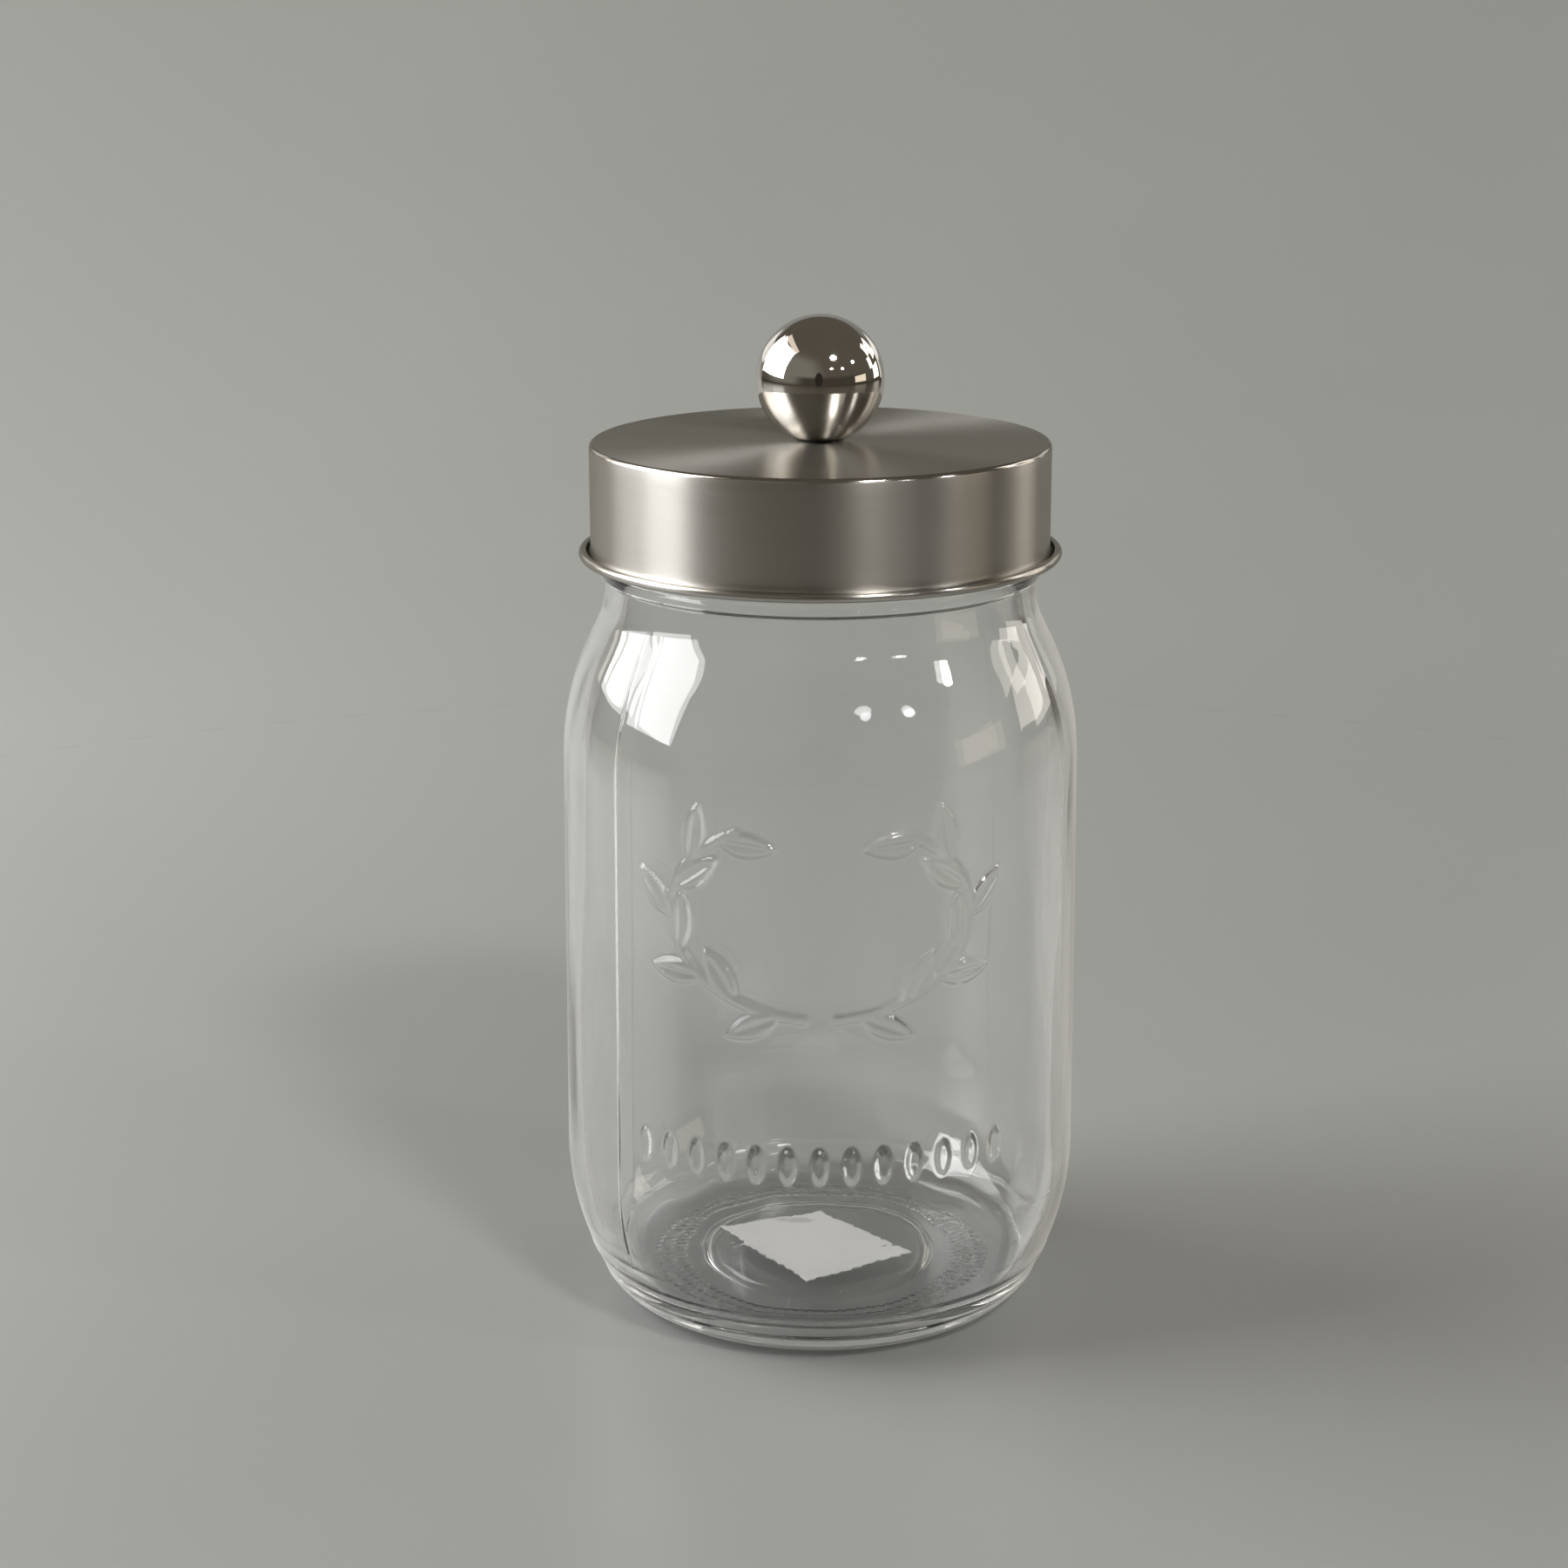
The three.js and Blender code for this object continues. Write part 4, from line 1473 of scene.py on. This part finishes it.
@dataclass
class LidShell:
    """The spun lid: a flat top, a straight wall and a roll at the bottom. Sizes are in millimetres."""

    sheet: float = 0.5
    wall_radius: float = 36.0
    corner: float = 0.75
    curl_radius: float = 0.75
    curl_sweep: float = 215.0
    curl_flare: float = 1.4
    sides: int = 240
    arc_step: float = 0.1
    flat_step: float = 2.0
    flare_chords: int = 10
    curl_chords: int = 24

    def centre_line(self) -> list[list[float]]:
        """Draws the middle of the sheet: the top from the screw hole, the wall, a flare and the open roll.

        Returns:
            Radius and height of each point.
        """
        low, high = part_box("lid_shell")
        half = self.sheet / 2
        wall, top = self.wall_radius - half, high.z / MM - half
        roll = self.curl_radius - half
        centre = (high.x / MM - self.curl_radius, low.z / MM + self.curl_radius)
        bottom = centre[1] - roll
        flare = centre[1] + self.curl_flare
        cap = [(SCREW_HOLE_RADIUS, top, 0.0), (wall, top, self.corner - half), (wall, flare, 0.0)]
        line = stepped(filleted(cap, self.arc_step), lambda radius, height: self.flat_step).tolist()
        spots = ((wall, flare), (wall, bottom), (centre[0], bottom))
        for k in range(1, self.flare_chords + 1):
            on = k / self.flare_chords
            weights = ((1 - on) ** 2, 2 * on * (1 - on), on**2)
            line.append([sum(w * spot[axis] for w, spot in zip(weights, spots)) for axis in (0, 1)])
        for k in range(1, self.curl_chords + 1):
            angle = radians(-90 + self.curl_sweep * k / self.curl_chords)
            line.append([centre[0] + roll * cos(angle), centre[1] + roll * sin(angle)])
        return line

    def build(self) -> bpy.types.Object:
        """Builds the lid's shell."""
        item = turned("lid_steel", sheet_outline(self.centre_line(), self.sheet), self.sides)
        return hand_over(item, BrushedSteel(), Body.LID, "lid_shell")


@dataclass
class LidSeal:
    """The soft ring inside the lid. Sizes are in millimetres."""

    thickness: float = 1.0
    skirt: float = 0.9
    inner_radius: float = 29.7
    fillet: float = 0.25
    arc_step: float = 0.1
    closing: float = 0.5
    sides: int = 160

    def build(self) -> bpy.types.Object:
        """Builds the seal.

        Returns:
            A ring with softened edges in the place of its CAD node.
        """
        low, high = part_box("lid_gasket")
        outer, top, lip = high.x / MM, high.z / MM, low.z / MM
        bottom, middle = top - self.thickness, (self.inner_radius + outer) / 2
        outline = filleted([
            (middle, bottom, 0.0),
            (outer - self.skirt, bottom, self.fillet),
            (outer - self.skirt, lip, self.fillet),
            (outer, lip, self.fillet),
            (outer, top, self.fillet),
            (self.inner_radius, top, self.fillet),
            (self.inner_radius, bottom, self.fillet),
            (middle - self.closing, bottom, 0.0),
        ], self.arc_step)
        item = turned("lid_seal", outline, self.sides)
        return hand_over(item, Silicone(), Body.LID, "lid_gasket")


@dataclass
class Knob:
    """The ball, and the screw and washers that hold it. Sizes are in millimetres."""

    flat_drop: float = 9.4
    edge_fillet: float = 0.12
    hole_depth: float = 8.6
    drill_point: float = 1.1
    sides: int = 160
    arc_steps: int = 90
    hardware: tuple[str, ...] = ("knob_screw", "flat_washer", "spring_washer")

    def ball(self) -> bpy.types.Object:
        """Builds the ball.

        Returns:
            The ball, with the flat that it stands on and the blind hole for the screw.
        """
        low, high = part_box("knob_ball")
        radius = (high.x - low.x) / 2 / MM
        flat, top = low.z / MM, high.z / MM
        centre, foot = top - radius, sqrt(radius**2 - self.flat_drop**2)
        start = atan2(-self.flat_drop, foot)
        outline = [
            (0.0, flat + self.hole_depth + self.drill_point),
            (SCREW_HOLE_RADIUS, flat + self.hole_depth),
            (SCREW_HOLE_RADIUS, flat),
            (foot - self.edge_fillet, flat),
        ]
        for k in range(1, self.arc_steps):
            angle = start + (pi / 2 - start) * k / self.arc_steps
            outline.append((radius * cos(angle), centre + radius * sin(angle)))
        outline.append((0.0, top))
        item = turned("knob_sphere", outline, self.sides)
        return hand_over(item, PolishedSteel(), Body.LID, "knob_ball")

    def dress(self) -> None:
        """Gives the screw and the washers their plating."""
        plating = PlatedSteel().material()
        for name in self.hardware:
            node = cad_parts[name]
            node.data.materials.clear()
            node.data.materials.append(plating)
            log.info("%s: plated, on the lid", name)


# ------------------------------------------------------------------------------------ the studio


@dataclass
class Cove:
    """A round grey sheet that turns up into a wall. Sizes are in metres."""

    back_reach: float = 1.15
    back_bend: float = 0.75
    wall_top: float = 0.80
    surround_reach: float = 2.4
    surround_bend: float = 0.5
    surround_top: float = 2.6
    open_from: float = 40.0
    open_to: float = -52.0
    column_turn: float = 3.0
    arc_step: float = 0.02

    def outline(self, reach: float, bend: float, top: float) -> list[tuple[float, float]]:
        """Floor, bend and wall, as radius and height, for a wall at a reach from the middle."""
        return filleted([(0.0, 0.0, 0.0), (reach, 0.0, bend), (reach, top, 0.0)], self.arc_step)

    def panel(
        self, name: str, outline: Sequence[tuple[float, float]], start: float, end: float
    ) -> bpy.types.Object:
        """Sweeps an outline between two compass angles.

        Args:
            name: the object's name.
            outline: radius and height of each row.
            start: compass angle in degrees, clockwise from the back.
            end: the compass angle that it sweeps to.

        Returns:
            The object, dressed with the backdrop finish.
        """
        columns = ceil((end - start) / self.column_turn)
        points, faces = [], []
        for k in range(columns + 1):
            compass = radians(start + (end - start) * k / columns)
            points += [(r * sin(compass), r * cos(compass), z) for r, z in outline]
        rows = len(outline)
        for k in range(columns):
            for i in range(rows - 1):
                low = k * rows + i
                faces.append((low, low + rows, low + rows + 1, low + 1))
        mesh = bpy.data.meshes.new(name)
        mesh.from_pydata(points, [], faces)
        mesh.validate()
        mesh.shade_smooth()
        mesh.materials.append(Backdrop().material())
        item = linked(name, mesh)
        return item

    def build(self) -> None:
        """Builds the floor, the back wall and a wall further out, which lets the lamps in."""
        floor_radius = self.back_reach - self.back_bend
        back = self.outline(self.back_reach, self.back_bend, self.wall_top)[1:]
        front = [(floor_radius, 0.0), (self.surround_reach - self.surround_bend, 0.0)]
        around = self.outline(self.surround_reach, self.surround_bend, self.surround_top)[1:]
        self.panel("studio_floor", [(0.0, 0.0), (floor_radius, 0.0)], 0.0, 360.0)
        self.panel("studio_back", back, self.open_to, self.open_from)
        self.panel("studio_floor_front", front, self.open_from, self.open_to + 360.0)
        far = self.panel("studio_surround", around, 0.0, 360.0)
        far.visible_glossy = False
        far.visible_diffuse = False
        far.visible_shadow = False


@dataclass(frozen=True)
class Lamp:
    """A soft lamp that faces the knob. Angles are in degrees, seen from there, and lengths in metres."""

    name: str
    compass: float
    elevation: float
    wide: float
    tall: float
    level: float
    colour: Colour = (1.0, 1.0, 1.0)
    distance: float = 1.6
    shape: LampShape = LampShape.SQUARE
    aim_drop: float = 0.01

    def build(self) -> None:
        """Builds the lamp. Its level is the brightness of its face, where 1 is white."""
        light = bpy.data.lights.new(self.name, "AREA")
        light.shape = self.shape.value
        light.size = 2 * self.distance * tan(radians(self.wide) / 2)
        light.size_y = 2 * self.distance * tan(radians(self.tall) / 2)
        light.energy = self.level * light.size * light.size_y * pi
        light.color = self.colour
        compass, elevation = radians(self.compass), radians(self.elevation)
        aim = Vector((sin(compass) * cos(elevation), cos(compass) * cos(elevation), sin(elevation)))
        lamp = linked(self.name, light)
        lamp.location = Vector((0.0, 0.0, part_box("knob_ball")[1].z - self.aim_drop)) + aim * self.distance
        lamp.rotation_euler = aim.to_track_quat("Z", "Y").to_euler()
        lamp.visible_camera = False
        log.info("%s: %.1f W", self.name, light.energy)


@dataclass(frozen=True)
class Room:
    """The dim room round the cove: a brownish ceiling, a paler wall, dark shelves and a dark figure.

    Places and ranges are parts of a direction of length 1.
    """

    ceiling: Colour = (0.112, 0.098, 0.077)
    wall: Colour = (0.22, 0.212, 0.18)
    wall_towards: tuple[float, float] = (-0.75, -0.66)
    wall_from: Range = (0.45, 0.85)
    wall_top: Range = (0.85, 0.55)
    ground: Colour = (0.063, 0.055, 0.042)
    ground_top: Range = (-0.12, 0.02)
    shelves_towards: tuple[float, float] = (0.3, -0.8)
    shelves_from: Range = (0.2, 0.6)
    shelves_top: Range = (0.22, 0.1)
    shade: Colour = (0.03, 0.026, 0.022)
    figure_place: tuple[float, float] = (-0.04, 0.1)
    figure_half: tuple[float, float] = (0.1195, 0.2132)
    figure_from: Range = (1.2, 0.8)
    figure_side: Range = (-0.3, -0.5)

    def build(self) -> None:
        """Builds the world."""
        world = bpy.data.worlds.new("dim_room")
        world.use_nodes = True
        graph = Graph(world.node_tree)
        x, y, z = graph.axes(graph.node("ShaderNodeTexCoord", output="Generated"))
        wall = (x * self.wall_towards[0] + y * self.wall_towards[1]).step(*self.wall_from)
        upper = graph.mix(wall * z.step(*self.wall_top), self.ceiling, self.wall)
        shelves = (x * self.shelves_towards[0] + y * self.shelves_towards[1]).step(*self.shelves_from)
        shelves = shelves * z.step(*self.shelves_top)
        colour = graph.mix(z.step(*self.ground_top) * (1 - shelves), self.ground, upper)
        across = (x - self.figure_place[0]) / self.figure_half[0]
        up = (z - self.figure_place[1]) / self.figure_half[1]
        figure = (across * across + up * up).step(*self.figure_from) * y.step(*self.figure_side)
        colour = graph.mix(figure, colour, self.shade)
        background = graph.node("ShaderNodeBackground", sockets={"Color": colour, "Strength": 1.0})
        graph.node("ShaderNodeOutputWorld", sockets={"Surface": background})
        bpy.context.scene.world = world


@dataclass(frozen=True)
class Studio:
    """The cove, the lamps, the room and the camera. Lengths are in metres and angles in degrees."""

    lamps: tuple[Lamp, ...] = (
        Lamp("window_left_near", -98.0, 25.0, 27.0, 43.0, 7.4, distance=1.35),
        Lamp("window_left_far", -70.0, 24.5, 26.0, 42.0, 4.9, distance=1.35),
        Lamp("window_left_end", -51.5, 21.0, 8.0, 38.0, 2.4, (1.0, 0.93, 0.85), distance=1.0),
        Lamp("curtain_left", -36.0, 9.0, 22.0, 30.0, 0.8, (1.0, 0.98, 0.95), distance=0.95),
        Lamp("curtain_right", 34.0, 6.0, 22.0, 22.0, 0.9, (1.0, 0.96, 0.90), distance=0.95),
        Lamp("window_left_blind", -88.0, 51.5, 44.0, 7.0, 0.9, (1.0, 0.86, 0.72)),
        Lamp("window_right_high", 64.0, 28.0, 8.0, 13.0, 3.6, (1.0, 0.93, 0.84)),
        Lamp("window_right_mid", 50.0, 22.0, 14.0, 17.0, 2.0, (1.0, 0.90, 0.84)),
        Lamp("window_right_low", 60.0, 3.5, 17.0, 12.0, 2.4, (1.0, 0.94, 0.85)),
        Lamp("window_right_end", 71.0, 15.0, 9.0, 12.0, 2.5, (1.0, 0.94, 0.85)),
        Lamp("doorway_right", 103.0, 2.5, 24.0, 9.0, 1.1, (1.0, 0.88, 0.70)),
        Lamp("ceiling_near", 150.0, 43.0, 9.5, 8.5, 46.0, (1.0, 0.98, 0.93), shape=LampShape.ROUND),
        Lamp("ceiling_far", 111.0, 28.5, 5.5, 4.0, 40.0, shape=LampShape.ROUND),
        Lamp("ceiling_small_a", 137.0, 22.5, 5.5, 3.5, 10.0, shape=LampShape.ROUND),
        Lamp("ceiling_small_b", 158.0, 24.5, 5.5, 3.5, 10.0, shape=LampShape.ROUND),
    )
    camera_distance: float = 0.47195
    camera_height: float = 0.21541
    pitch: float = 15.51
    yaw: float = 0.700
    roll: float = -0.148
    lens: float = 70.09
    sensor: float = 36.0
    clip: Range = (0.01, 20.0)

    def camera(self) -> None:
        """Places the camera in front of the jar, looking slightly down."""
        data = bpy.data.cameras.new("front_camera")
        data.lens, data.sensor_width = self.lens, self.sensor
        data.clip_start, data.clip_end = self.clip
        camera = linked("front_camera", data)
        camera.matrix_world = (
            Matrix.Translation((0.0, -self.camera_distance, self.camera_height))
            @ Matrix.Rotation(radians(self.yaw), 4, "Z")
            @ Matrix.Rotation(radians(90 - self.pitch), 4, "X")
            @ Matrix.Rotation(radians(self.roll), 4, "Z")
        )
        bpy.context.scene.camera = camera

    def build(self) -> None:
        """Builds the whole studio."""
        bpy.context.scene.view_settings.view_transform = "Standard"
        self.camera()
        Room().build()
        Cove().build()
        for lamp in self.lamps:
            lamp.build()


def main() -> None:
    """Builds the studio and then the canister, from the jar up to the knob."""
    logging.basicConfig(level=logging.INFO, format="%(message)s")
    Studio().build()
    GlassJar().build()
    BaseLabel().build()
    LidShell().build()
    LidSeal().build()
    knob = Knob()
    knob.ball()
    knob.dress()


if __name__ == "__main__":
    main()
